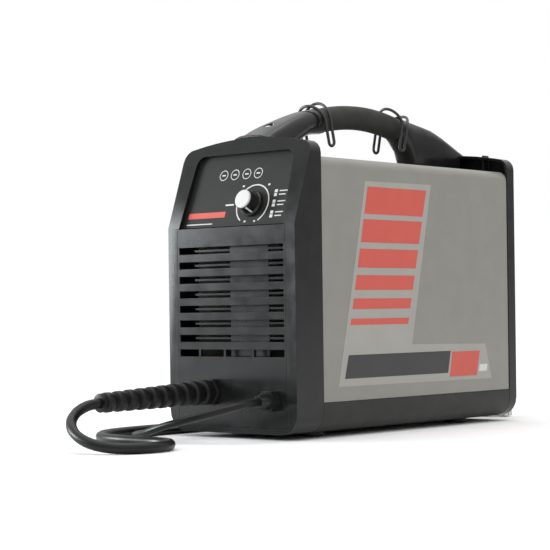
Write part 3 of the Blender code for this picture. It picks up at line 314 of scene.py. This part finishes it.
print("finishes:", ", ".join(sorted(FINISHES)))

# %% Which finish each CAD piece has
SLOTS = {node: source.data.materials[0].name.split(".")[0] for node, source in frame["nodes"].items()}
for node, source in frame["nodes"].items():
    source.data.materials.clear()
    source.data.materials.append(FINISHES[SLOTS[node]])
print("slots in use:", ", ".join(sorted(set(SLOTS.values()))))

# %% [markdown]
# ## Finishing a piece
#
# A shape's doubled points are merged, its faces are turned outwards and it is carried to the frame.
# Weighted normals keep the flat faces flat beside a rounded edge, so that a moulding looks moulded.

# %% Helper that finishes a shape
def finish_piece(bm, name, slot, body="unit", stands_for=(), sharp=35.0, finish=None):
    bmesh.ops.remove_doubles(bm, verts=bm.verts, dist=0.002)
    bmesh.ops.recalc_face_normals(bm, faces=bm.faces)
    bmesh.ops.transform(bm, matrix=TO_FRAME, verts=bm.verts)
    mesh = bpy.data.meshes.new(name)
    bm.to_mesh(mesh)
    bm.free()
    mesh.shade_smooth()
    mesh.set_sharp_from_angle(angle=math.radians(sharp))
    mesh.materials.append(finish or FINISHES[slot])
    piece = bpy.data.objects.new(name, mesh)
    bpy.context.scene.collection.objects.link(piece)
    weighted = piece.modifiers.new("flat faces stay flat", "WEIGHTED_NORMAL")
    weighted.keep_sharp = True
    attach(piece, body)
    if stands_for:
        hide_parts(*stands_for)
    print(f"{name}: {len(mesh.polygons)} faces on {body}")
    return piece


# %% [markdown]
# ## Rounded edges
#
# No moulding or bent sheet has a truly sharp edge, and the thin highlight that runs along a rounded one
# tells the eye what it is made of. Each CAD shape is copied, merged and bevelled by its own radius at
# most. A short edge holds the radius back for its whole piece, so several pieces get far less.

# %% Helper that rounds a CAD piece's edges
def soften(node, edge, segments=2, angle=30.0, sharp=35.0):
    source = frame["nodes"][node]
    bm = bmesh.new()
    bm.from_mesh(source.data)
    bmesh.ops.transform(bm, matrix=TO_FRAME.inverted(), verts=bm.verts)
    bmesh.ops.remove_doubles(bm, verts=bm.verts, dist=0.01)
    bmesh.ops.dissolve_limit(bm, angle_limit=math.radians(0.5), verts=bm.verts, edges=bm.edges,
                             delimit={"NORMAL"})
    edges = [e for e in bm.edges if len(e.link_faces) == 2 and e.calc_face_angle(0.0) > math.radians(angle)]
    bmesh.ops.bevel(bm, geom=edges, offset=edge, offset_type="OFFSET", affect="EDGES", segments=segments,
                    profile=0.5, clamp_overlap=True, material=-1)
    return finish_piece(bm, f"{node}_rounded", SLOTS[node], source["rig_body"], (node,), sharp)


# %% [markdown]
# ## Curved rods, turned shapes and thin prints
#
# A few small helpers cover the new shapes. A rod is a curve with a round section, made into a mesh. A
# turned shape is an outline spun about an axis. A print is a flat face given the thickness of a sticker.

# %% Helper for a rod
def rod(points, radius, closed=False, resolution=4):
    curve = bpy.data.curves.new("rod_line", "CURVE")
    curve.dimensions = "3D"
    curve.bevel_depth = radius
    curve.bevel_resolution = resolution
    curve.use_fill_caps = not closed
    spline = curve.splines.new("POLY")
    spline.points.add(len(points) - 1)
    for target, point in zip(spline.points, points):
        target.co = (*point, 1.0)
    spline.use_cyclic_u = closed
    holder = bpy.data.objects.new("rod_line", curve)
    bpy.context.scene.collection.objects.link(holder)
    mesh = bpy.data.meshes.new_from_object(holder.evaluated_get(bpy.context.evaluated_depsgraph_get()))
    bm = bmesh.new()
    bm.from_mesh(mesh)
    bpy.data.objects.remove(holder)
    bpy.data.curves.remove(curve)
    bpy.data.meshes.remove(mesh)
    return bm


# %% Helper for a turned shape
def turned(profile, origin, direction, steps=48, bm=None):
    bm = bm or bmesh.new()
    verts = [bm.verts.new((radius, 0.0, rise)) for radius, rise in profile]
    edges = [bm.edges.new(pair) for pair in zip(verts, verts[1:])]
    earlier = set(bm.verts) - set(verts)
    bmesh.ops.spin(bm, geom=verts + edges, cent=(0, 0, 0), axis=(0, 0, 1), dvec=(0, 0, 0),
                   angle=math.tau, steps=steps, use_merge=True)
    new = [v for v in bm.verts if v not in earlier]
    place = Matrix.Translation(origin) @ Vector(direction).to_track_quat("Z", "Y").to_matrix().to_4x4()
    bmesh.ops.transform(bm, matrix=place, verts=new)
    return bm


# %% Helpers for a print
FILM = 0.12


def film_finish(name, colour, gloss=(0.36, 0.46), variation=0.03):
    return make_finish(name, colour, gloss, grain=(1800, 0.10), variation=variation)


def flat_shape(bm, points):
    return bm.faces.new([bm.verts.new((u, v, 0.0)) for u, v in points])


def arc_band(bm, centre, inner, outer, start, sweep, steps=32):
    angle = math.radians(start)
    ends = [bm.verts.new((centre[0] + radius * math.cos(angle), centre[1] + radius * math.sin(angle), 0.0))
            for radius in (inner, outer)]
    edge = bm.edges.new(ends)
    bmesh.ops.spin(bm, geom=[*ends, edge], cent=(*centre, 0.0), axis=(0, 0, 1), dvec=(0, 0, 0),
                   angle=math.radians(sweep), steps=steps, use_merge=abs(sweep) == 360)


def print_on(bm, name, slot, place, finish=None):
    bmesh.ops.remove_doubles(bm, verts=bm.verts, dist=0.001)
    grown = bmesh.ops.extrude_face_region(bm, geom=bm.faces[:])
    raised = [item for item in grown["geom"] if isinstance(item, bmesh.types.BMVert)]
    bmesh.ops.translate(bm, vec=(0, 0, FILM), verts=raised)
    bmesh.ops.transform(bm, matrix=place, verts=bm.verts)
    return finish_piece(bm, name, slot, finish=finish)


# %% [markdown]
# ## Laying a lead
#
# A free lead has one smooth centreline. It leaves its strain relief, droops to the floor, runs back along
# the case and goes into a coil, whose turns lie beside and on each other one diameter apart.

# %% Helper for a smooth centreline
def smooth_line(points, step):
    path = [Vector(point) for point in points]
    fine = []
    for i in range(len(path) - 1):
        before, start, end = path[max(i - 1, 0)], path[i], path[i + 1]
        after = path[min(i + 2, len(path) - 1)]
        third = (end - start).length / 3
        out, into = start + (end - before).normalized() * third, end - (after - start).normalized() * third
        count = max(2, round((end - start).length / step))
        for k in range(count):
            t = k / count
            s = 1 - t
            fine.append(start * s ** 3 + out * 3 * s * s * t + into * 3 * s * t * t + end * t ** 3)
    return fine + [path[-1]]


# %% Helper for a wound coil
def wound(centre, cells, per_turn=24, change=5):
    """Whole turns through the cells, each change of cell made in the last few steps of its turn."""
    points = []
    for turn_index, (radius, height) in enumerate(cells):
        following = cells[min(turn_index + 1, len(cells) - 1)]
        for k in range(per_turn):
            share = max(0.0, (k - per_turn + change) / change)
            share = share * share * (3 - 2 * share)
            r = radius + (following[0] - radius) * share
            z = height + (following[1] - height) * share
            angle = math.tau * k / per_turn
            points.append((centre[0] + r * math.cos(angle), centre[1] + r * math.sin(angle), z))
    return points


# %% Helper that lays a lead
def lay_lead(name, points, diameter, stands_for):
    path = [TO_FRAME @ point for point in points]
    curve = bpy.data.curves.new(name, "CURVE")
    curve.dimensions = "3D"
    curve.bevel_depth = diameter / 2 * MM
    curve.bevel_resolution = 3
    curve.use_fill_caps = True
    spline = curve.splines.new("POLY")
    spline.points.add(len(path) - 1)
    for target, point in zip(spline.points, path):
        target.co = (*point, 1.0)
    curve.materials.append(FINISHES["rubber"])
    lead = bpy.data.objects.new(name, curve)
    bpy.context.scene.collection.objects.link(lead)
    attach(lead, "unit")
    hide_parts(*stands_for)


# %% The torch lead
TORCH_ROUTE = (
    (-26, -322, 39), (-26, -336, 37.4), (-23, -352, 32), (-13, -367, 24), (3, -376, 15.5),
    (22, -377, 9), (40, -370, 5.6), (53, -355, 4.9), (58, -336, 4.9), (53, -316, 4.9),
    (39, -301, 4.9), (18, -294, 4.9), (-6, -293, 4.9), (-32, -292, 4.9), (-58, -285, 4.9),
    (-80, -270, 4.9), (-96, -247, 4.9), (-104, -218, 4.9), (-107, -184, 4.9), (-107, -140, 4.9),
    (-106, -95, 4.9), (-103.5, -50, 4.9), (-101.5, -18, 4.9), (-101.3, 5, 4.9),
)
TORCH_TAIL = (
    (-205, 110.9, 15), (-218.4, 114.0, 13.8), (-230.0, 121.9, 13.0), (-238.0, 134.0, 13.3),
    (-241, 148.4, 14.5), (-241, 160, 14.9),
)
TORCH_CELLS = ((66.5, 6.35), (57, 6.35), (47.5, 6.35), (52.25, 14.6), (61.75, 14.6), (57, 22.8),
               (47.5, 22.8), (52.25, 31), (61.75, 31), (66.5, 22.8))
TORCH_DIAMETER = 9.5
TORCH_COIL_X, TORCH_COIL_Y = -170.0, 42.0
UNWIND_RADIUS, UNWIND_HEIGHT, UNWIND_DROP = 70.0, 22.8, 7.0
torch_turns = wound((TORCH_COIL_X, TORCH_COIL_Y), TORCH_CELLS)
unwinding = []
for k in range(1, 7):
    angle = math.radians(15 * k)
    unwinding.append((TORCH_COIL_X + UNWIND_RADIUS * math.cos(angle),
                      TORCH_COIL_Y + UNWIND_RADIUS * math.sin(angle),
                      UNWIND_HEIGHT - UNWIND_DROP * angle / (math.pi / 2)))
torch_line = smooth_line([*TORCH_ROUTE, *torch_turns, *unwinding, *TORCH_TAIL], step=4.5)
print("torch lead points:", len(torch_line))

# %% The work lead
WORK_ROUTE = (
    (51, -199, 36), (51, -213, 35), (45, -230, 31.5), (31, -244, 26.5), (11, -252, 21),
    (-12, -255.5, 15.5), (-34, -254, 9.5), (-54, -247, 4.6), (-71, -235, 3.7), (-83, -216, 3.7),
    (-88.5, -192, 3.7), (-89, -160, 3.7), (-88, -115, 3.7), (-87.6, -60, 3.7), (-87.6, 0, 3.7),
    (-87.6, 60, 3.7), (-88, 110, 3.7), (-90.6, 150, 3.7),
)
WORK_TAIL = (
    (-93.5, 184, 12.1), (-93.5, 212, 12.6), (-91.4, 223.2, 12.0), (-85.2, 233.0, 11.6),
    (-75.6, 239.6, 11.6), (-66.0, 241.8, 11.9), (-60.6, 241.8, 12),
)
WORK_ORDER = ((3, 0), (2, 0), (1, 0), (0, 0), (0, 1), (1, 1), (2, 1), (1, 2), (0, 2), (1, 3), (2, 3),
              (2, 2), (3, 2), (3, 1))
WORK_DIAMETER = 7.0
WORK_COIL_CENTRE = (-146.0, 184.0)
WORK_FIRST_RADIUS, WORK_FIRST_HEIGHT = 31.5, 5.1
work_cells = [(WORK_FIRST_RADIUS + WORK_DIAMETER * column, WORK_FIRST_HEIGHT + WORK_DIAMETER * layer)
              for column, layer in WORK_ORDER]
work_turns = wound(WORK_COIL_CENTRE, work_cells)
work_line = smooth_line([*WORK_ROUTE, *work_turns, *WORK_TAIL], step=3.6)
print("work lead points:", len(work_line))

# %% [markdown]
# ## The case
#
# The two bezels are deep mouldings, the cover is bent sheet and the base tray is folded steel. The cover,
# the tray and the feet get the radius asked for. The bezels and the panels between them get far less.

# %% Round the case
soften("front_bezel", 1.2, 3)
soften("front_grille_panel", 0.7, 2)
soften("splash_baffle", 0.3)
soften("control_plate", 0.3)
soften("cover_shell", 0.3)
soften("base_tray", 0.5)
soften("rear_bezel", 1.0, 3)
soften("rear_panel", 0.3)
for corner in ("foot_front_left", "foot_front_right", "foot_rear_left", "foot_rear_right"):
    soften(corner, 0.5)

# %% Round the rear fittings and the fan
soften("fan_frame", 0.5)
soften("fan_rotor", 0.15)
soften("power_switch", 0.5)
soften("power_rocker", 0.6, 3)
soften("mains_gland", 0.4)
soften("air_inlet", 0.3)

# %% [markdown]
# ## The handle
#
# The rubber grip is a plain tube over a steel core, arched a little. The brackets at its ends are
# mouldings that flare down to the cover, and two wire bails saddle the grip beside them.

# %% Round the brackets and their screws
soften("handle_front_bracket", 0.8, 2, angle=40, sharp=50)
soften("handle_rear_bracket", 0.8, 2, angle=40, sharp=50)
soften("handle_screw_front", 0.3)
soften("handle_screw_rear", 0.3)

# %% The line of the grip
GRIP_TOP = 324.0
GRIP_RADIUS = 12.0
GRIP_FRONT, GRIP_REAR, GRIP_CREST = -47.0, 77.0, 16.0
GRIP_FRONT_DROP, GRIP_REAR_DROP = 7.144, 7.628
BAIL_WIRE_RADIUS = 1.5


def grip_height(y):
    end, drop = (GRIP_REAR, GRIP_REAR_DROP) if y > GRIP_CREST else (GRIP_FRONT, GRIP_FRONT_DROP)
    return GRIP_TOP - GRIP_RADIUS + 0.1 - drop * ((y - GRIP_CREST) / (end - GRIP_CREST)) ** 2


def grip_slope(y):
    return (grip_height(y + 1) - grip_height(y - 1)) / 2


GRIP_STEPS = 40
grip_line = []
for i in range(GRIP_STEPS + 1):
    y = GRIP_FRONT + (GRIP_REAR - GRIP_FRONT) * i / GRIP_STEPS
    grip_line.append((0, y, grip_height(y)))
finish_piece(rod(grip_line, GRIP_RADIUS, resolution=10), "grip_sleeve", "grip_rubber",
             stands_for=("handle_grip",))

# %% The two wire bails
def bail_line(widest, radius=17.0, drop=25.0, bend=4.0, steps=14):
    points = []
    quarter = [math.radians(90 * i / steps) for i in range(steps + 1)]
    for side in (1, -1):
        for a in quarter:
            spread = bend + (widest - bend) * math.cos(a) ** 2
            points.append((side * radius * math.sin(a), side * spread, radius * math.cos(a)))
        for i in range(steps + 1):
            a = math.pi * i / steps
            points.append((side * radius, side * bend * math.cos(a), -drop + bend - bend * math.sin(a)))
        for a in quarter[:0:-1]:
            spread = bend + (widest - bend) * math.cos(a) ** 2
            points.append((side * radius * math.sin(a), -side * spread, radius * math.cos(a)))
    return points


for name, y, widest in (("front_bail", -52.0, 8.0), ("rear_bail", 72.0, 14.0)):
    wire = rod(bail_line(widest), BAIL_WIRE_RADIUS, closed=True, resolution=3)
    seat = Matrix.Translation((0, y, grip_height(y))) @ Matrix.Rotation(math.atan(grip_slope(y)), 4, "X")
    bmesh.ops.transform(wire, matrix=seat, verts=wire.verts)
    finish_piece(wire, f"{name}_wire", "dark_wire", name, (name,), sharp=80)

# %% [markdown]
# ## The control knob
#
# The knob is a tapered black moulding with a pale disc on its end. Both are spun about the shaft, which
# stands square to the sloping plate. A pale pointer runs down the knob's side.

# %% The sloping plate's own directions
OUTWARD = Vector((0.0, -math.cos(RAKE), math.sin(RAKE)))
PLATE_LIFT = -4.5
KNOB_X, KNOB_Z = 19.0, 219.0
KNOB_LENGTH = 12.8


def plate_point(x, z, lift=0.0):
    foot = Vector((x, FRONT + (z - RAKE_BREAK) * math.tan(RAKE), z))
    return foot + OUTWARD * (PLATE_LIFT + lift)


UPWARD = Vector((0.0, math.sin(RAKE), math.cos(RAKE)))
PLATE_PLACE = Matrix.Translation(plate_point(0, RAKE_BREAK)) @ Matrix(
    ((1, 0, 0), UPWARD, OUTWARD)).transposed().to_4x4()
print("the plate faces", [round(value, 3) for value in OUTWARD])

# %% The knob, its cap and its pointer
knob_base = plate_point(KNOB_X, KNOB_Z, 0.6)
knob_profile = ((0, 0), (12.3, 0), (12.5, 0.2), (12.5, 2.2), (12.2, 2.7), (11.3, 3.3), (10.9, 4.2),
                (9.6, 12.3), (9.2, KNOB_LENGTH), (0, KNOB_LENGTH))
finish_piece(turned(knob_profile, knob_base, OUTWARD), "knob_body", "black_moulding", "knob",
             ("current_knob",))
cap_profile = ((0, 0.2), (8.9, 0.2), (8.9, 1.3), (8.6, 1.75), (8.0, 2.0), (0, 2.0))
finish_piece(turned(cap_profile, knob_base + OUTWARD * KNOB_LENGTH, OUTWARD), "knob_disc", "light_grey",
             "knob", ("knob_cap",))
POINTER_SIZE = (1.7, 0.7, 8.6)
POINTER_PLACE = (0, 10.35, 8.1)
POINTER_TILT, POINTER_TURN = math.radians(9.2), math.radians(-150)
pointer = bmesh.new()
bmesh.ops.create_cube(pointer, size=1.0)
bmesh.ops.scale(pointer, vec=POINTER_SIZE, verts=pointer.verts)
bmesh.ops.bevel(pointer, geom=pointer.edges[:], offset=0.25, offset_type="OFFSET", affect="EDGES",
                segments=2, profile=0.5, material=-1)
leaned = Matrix.Translation(POINTER_PLACE) @ Matrix.Rotation(POINTER_TILT, 4, "X")
bmesh.ops.transform(pointer, matrix=leaned, verts=pointer.verts)
around = Matrix((UPWARD.cross(OUTWARD), UPWARD, OUTWARD)).transposed().to_4x4()
set_round = Matrix.Translation(knob_base) @ around @ Matrix.Rotation(POINTER_TURN, 4, "Z")
bmesh.ops.transform(pointer, matrix=set_round, verts=pointer.verts)
finish_piece(pointer, "knob_pointer", "light_grey", "knob")

# %% [markdown]
# ## The prints
#
# Plain stripes, rings and blocks stand on the plate and the cover as thin films. They are generic: none
# of them is a letter or a mark. A film is its own piece, so its edge catches the light like a real one.

# %% Prints on the sloping plate
def plate_uv(x, z):
    return x, (z - RAKE_BREAK) / math.cos(RAKE)


def plate_bar(bm, x0, x1, z0, z1):
    flat_shape(bm, [plate_uv(x0, z0), plate_uv(x1, z0), plate_uv(x1, z1), plate_uv(x0, z1)])


white = bmesh.new()
for x in (-26.1, -11.8, 3.1, 17.6):
    arc_band(white, plate_uv(x, 248.8), 4.6, 5.3, 0, 360)
    plate_bar(white, x - 2.2, x + 2.2, 248.2, 249.4)
arc_band(white, plate_uv(19.0, 219.2), 18.7, 20.0, -57, 291, 64)
for x, z in ((2.7, 237.0), (34.6, 237.0), (13.7, 203.2), (25.7, 203.1)):
    plate_bar(white, x - 1.2, x + 1.2, z - 0.8, z + 0.8)
plate_bar(white, -15.3, -4.8, 219.1, 220.5)
plate_bar(white, -60.5, -27.4, 202.1, 203.1)
for z in (228.6, 218.9, 208.8):
    plate_bar(white, 43.4, 46.9, z + 0.4, z + 3.2)
    plate_bar(white, 43.4, 46.9, z - 3.2, z - 0.4)
    plate_bar(white, 49.4, 58.9, z + 1.2, z + 2.2)
    plate_bar(white, 49.4, 57.4, z - 2.2, z - 1.2)
print_on(white, "plate_white_print", "light_grey", PLATE_PLACE)
red_bar = bmesh.new()
plate_bar(red_bar, -60.6, -13.2, 208.2, 213.6)
print_red = film_finish("red_film_finish", (0.56, 0.085, 0.062), (0.34, 0.46))
print_on(red_bar, "plate_red_print", "red_plastic", PLATE_PLACE, print_red)

# %% Prints on the side of the cover
COVER_INSET = 0.8
COVER_SIDE = HALF_WIDTH - COVER_INSET
SIDE_PLACE = Matrix.Translation((COVER_SIDE, 0, 0)) @ Matrix(
    ((0, 1, 0), (0, 0, 1), (1, 0, 0))).transposed().to_4x4()
OVER_FIELD = SIDE_PLACE @ Matrix.Translation((0, 0, FILM))
print_pale = film_finish("pale_film_finish", (0.335, 0.325, 0.295))
print_dark = film_finish("dark_film_finish", (0.030, 0.030, 0.031), (0.34, 0.46), 0.05)
print_white = film_finish("white_film_finish", (0.62, 0.62, 0.60))
field = bmesh.new()
flat_shape(field, ((-117, 47), (133, 46), (122, 82), (-3, 84), (31, 241), (-74, 240), (-91, 161)))
print_on(field, "side_field_print", "light_grey", SIDE_PLACE, print_pale)

# %% Graded stripes and the three bars below them
SLANT_LOW, SLANT_HIGH = 89.0, 235.0


def slanted(z, at_low, at_high):
    """The Y of a sloping edge at a height, from its Y at the two heights above."""
    return at_low + (at_high - at_low) * (z - SLANT_LOW) / (SLANT_HIGH - SLANT_LOW)


stripes = bmesh.new()
top = SLANT_HIGH
for thick, space in ((26, 5), (22, 6), (18, 7), (14, 8), (10, 9), (6, 9)):
    low = top - thick
    flat_shape(stripes, [(slanted(z, left, right), z) for z, left, right in (
        (low, -102, -70), (low, -13, 23), (top, -13, 23), (top, -102, -70))])
    top = low - space
print_on(stripes, "side_red_stripes", "red_plastic", OVER_FIELD, print_red)
dark = bmesh.new()
flat_shape(dark, ((-108, 54), (56, 54), (61, 76), (-102, 76)))
print_on(dark, "side_dark_bar", "panel_black", OVER_FIELD, print_dark)
ending = bmesh.new()
flat_shape(ending, ((59, 50), (106, 50), (112, 75), (64, 75)))
print_on(ending, "side_red_bar", "red_plastic", OVER_FIELD, print_red)
small = bmesh.new()
flat_shape(small, ((110, 54), (124, 54), (125.5, 61), (111.5, 61)))
print_on(small, "side_white_bar", "light_grey", OVER_FIELD, print_white)

# %% [markdown]
# ## Strain relief and gland
#
# The torch lead leaves through a long ribbed rubber boot. Each rib is a short barrel with a groove behind
# it, and all get smaller towards the tip, which ends in a plain collar.

# %% The ribbed boot
BOOT_RIBS = 10
BOOT_LENGTH = 137.0
BOOT_RADIUS, BOOT_TAPER = 11.8, 3.0
BOOT_PLACE = Vector((-26.0, FRONT - 6.0, 43.0))
BOOT_DROOP = math.radians(1.6)
boot_pitch = BOOT_LENGTH / BOOT_RIBS
boot_profile = [(0, 0), (11.6, 0), (BOOT_RADIUS, 0.6)]
for i in range(BOOT_RIBS):
    rib = BOOT_RADIUS - BOOT_TAPER * i / BOOT_RIBS
    for share, depth in ((0.06, 0.25), (0.18, 0.0), (0.50, 0.0), (0.60, 0.30), (0.66, 1.1), (0.70, 2.2),
                         (0.92, 2.2), (0.97, 1.2)):
        boot_profile.append((rib - depth, boot_pitch * (i + share) + 0.6))
boot_profile += [(8.6, BOOT_LENGTH), (7.9, BOOT_LENGTH + 0.9), (0, BOOT_LENGTH + 0.9)]
boot_way = Vector((0, -math.cos(BOOT_DROOP), -math.sin(BOOT_DROOP)))
finish_piece(turned(boot_profile, BOOT_PLACE, boot_way, 40), "boot_ribs", "rubber",
             stands_for=("torch_boot",), sharp=60)
soften("torch_gland", 0.6)
soften("work_gland", 0.6)

# %% [markdown]
# ## Torch and clamp
#
# The hand torch has a barrel handle, a bent head and a brass shield cup, with a red trigger under a red
# catch. The clamp is pressed steel with a hinge pin. The head and its cup keep their plain CAD shapes,
# and the rest get rounded edges.

# %% Round the torch, the clamp and the ties
soften("torch_handle", 0.5, 2, sharp=40)
soften("torch_trigger", 0.5)
soften("torch_safety", 0.3)
soften("clamp_fixed", 0.5)
soften("clamp_moving", 0.5)
soften("clamp_pin", 0.3)
soften("torch_coil_tie", 0.3)
soften("work_coil_tie", 0.3)

# %% Lay both leads
lay_lead("torch_lead_line", torch_line, TORCH_DIAMETER, ("torch_lead", "torch_coil", "torch_lead_tail"))
lay_lead("work_lead_line", work_line, WORK_DIAMETER, ("work_lead", "work_coil", "work_lead_tail"))

# %% [markdown]
# ## Studio
#
# A pale floor and a room that is brighter overhead give the soft light of a catalogue. A soft box at the
# front left, wider than it is tall, puts the cool bright reflection on the glossy black front. A dim
# patch of the room beside it lets the reflection fade towards the right. A second box hangs above, and
# the camera itself sees an even white room.

# %% Floor
floor_data = bpy.data.meshes.new("studio_floor")
floor_shape = bmesh.new()
bmesh.ops.create_grid(floor_shape, x_segments=1, y_segments=1, size=30.0)
floor_shape.to_mesh(floor_data)
floor_shape.free()
floor = bpy.data.objects.new("studio_floor", floor_data)
bpy.context.scene.collection.objects.link(floor)
floor_finish = bpy.data.materials.new("studio_floor_finish")
floor_finish.use_nodes = True
floor_shader = floor_finish.node_tree.nodes["Principled BSDF"]
floor_shader.inputs["Base Color"].default_value = (0.95, 0.95, 0.95, 1.0)
floor_shader.inputs["Roughness"].default_value = 0.9
floor_shader.inputs["Specular IOR Level"].default_value = 0.1
floor_data.materials.append(floor_finish)
floor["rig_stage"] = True
print("floor laid")

# %% Room light
room = bpy.data.worlds.new("studio_room")
bpy.context.scene.world = room
room.use_nodes = True
room_nodes, room_links = room.node_tree.nodes, room.node_tree.links
background = room_nodes["Background"]
direction = room_nodes.new("ShaderNodeTexCoord")
facing = room_nodes.new("ShaderNodeVectorMath")
facing.operation = "DOT_PRODUCT"
facing.inputs[1].default_value = Vector((-0.45, -0.90, 0.0)).normalized()
room_links.new(direction.outputs["Generated"], facing.inputs[0])
dim = room_nodes.new("ShaderNodeMapRange")
for label, value in (("From Min", 0.72), ("From Max", 0.97), ("To Min", 1.0), ("To Max", 0.18)):
    dim.inputs[label].default_value = value
room_links.new(facing.outputs["Value"], dim.inputs["Value"])
height = room_nodes.new("ShaderNodeSeparateXYZ")
room_links.new(direction.outputs["Generated"], height.inputs["Vector"])
rise = room_nodes.new("ShaderNodeMapRange")
for label, value in (("From Min", 0.0), ("From Max", 1.0), ("To Min", 0.34), ("To Max", 1.50)):
    rise.inputs[label].default_value = value
room_links.new(height.outputs["Z"], rise.inputs["Value"])
strength = room_nodes.new("ShaderNodeMath")
strength.operation = "MULTIPLY"
room_links.new(dim.outputs["Result"], strength.inputs[0])
room_links.new(rise.outputs["Result"], strength.inputs[1])
seen = room_nodes.new("ShaderNodeLightPath")
pick = room_nodes.new("ShaderNodeMix")
pick.data_type = "FLOAT"
room_links.new(seen.outputs["Is Camera Ray"], pick.inputs[0])
room_links.new(strength.outputs["Value"], pick.inputs[2])
pick.inputs[3].default_value = 1.0
room_links.new(pick.outputs[0], background.inputs["Strength"])
background.inputs["Color"].default_value = (1.0, 1.0, 1.0, 1.0)
bpy.context.scene.view_settings.view_transform = "Standard"
print("room lit")

# %% Soft boxes
UNIT_MIDDLE = Vector((0, 0, 0.14))


def soft_box(name, direction, distance, height, wide, tall, power, colour=(1, 1, 1)):
    data = bpy.data.lights.new(name, "AREA")
    data.shape = "RECTANGLE"
    data.size = wide
    data.size_y = tall
    data.energy = power
    data.color = colour
    light = bpy.data.objects.new(name, data)
    bpy.context.scene.collection.objects.link(light)
    place = Vector((direction[0], direction[1], 0.0)).normalized() * distance + Vector((0, 0, height))
    aim = (UNIT_MIDDLE - place).to_track_quat("-Z", "Y").to_matrix().to_4x4()
    light.matrix_world = Matrix.Translation(place) @ aim
    light.visible_camera = False
    print(name, "at", [round(value, 2) for value in place])


soft_box("front_left_box", (-0.82, -0.57), distance=2.0, height=0.50, wide=0.80, tall=0.52, power=34.0,
         colour=(0.90, 0.96, 1.0))
soft_box("top_box", (0.05, 0.10), distance=0.2, height=2.4, wide=1.8, tall=1.8, power=12.0)

# %% [markdown]
# ## Finish
#
# The box of the finished unit is printed.

# %% Print the finished unit's box
low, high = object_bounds()
print("visual box:", [round(value, 4) for value in (*low, *high)])
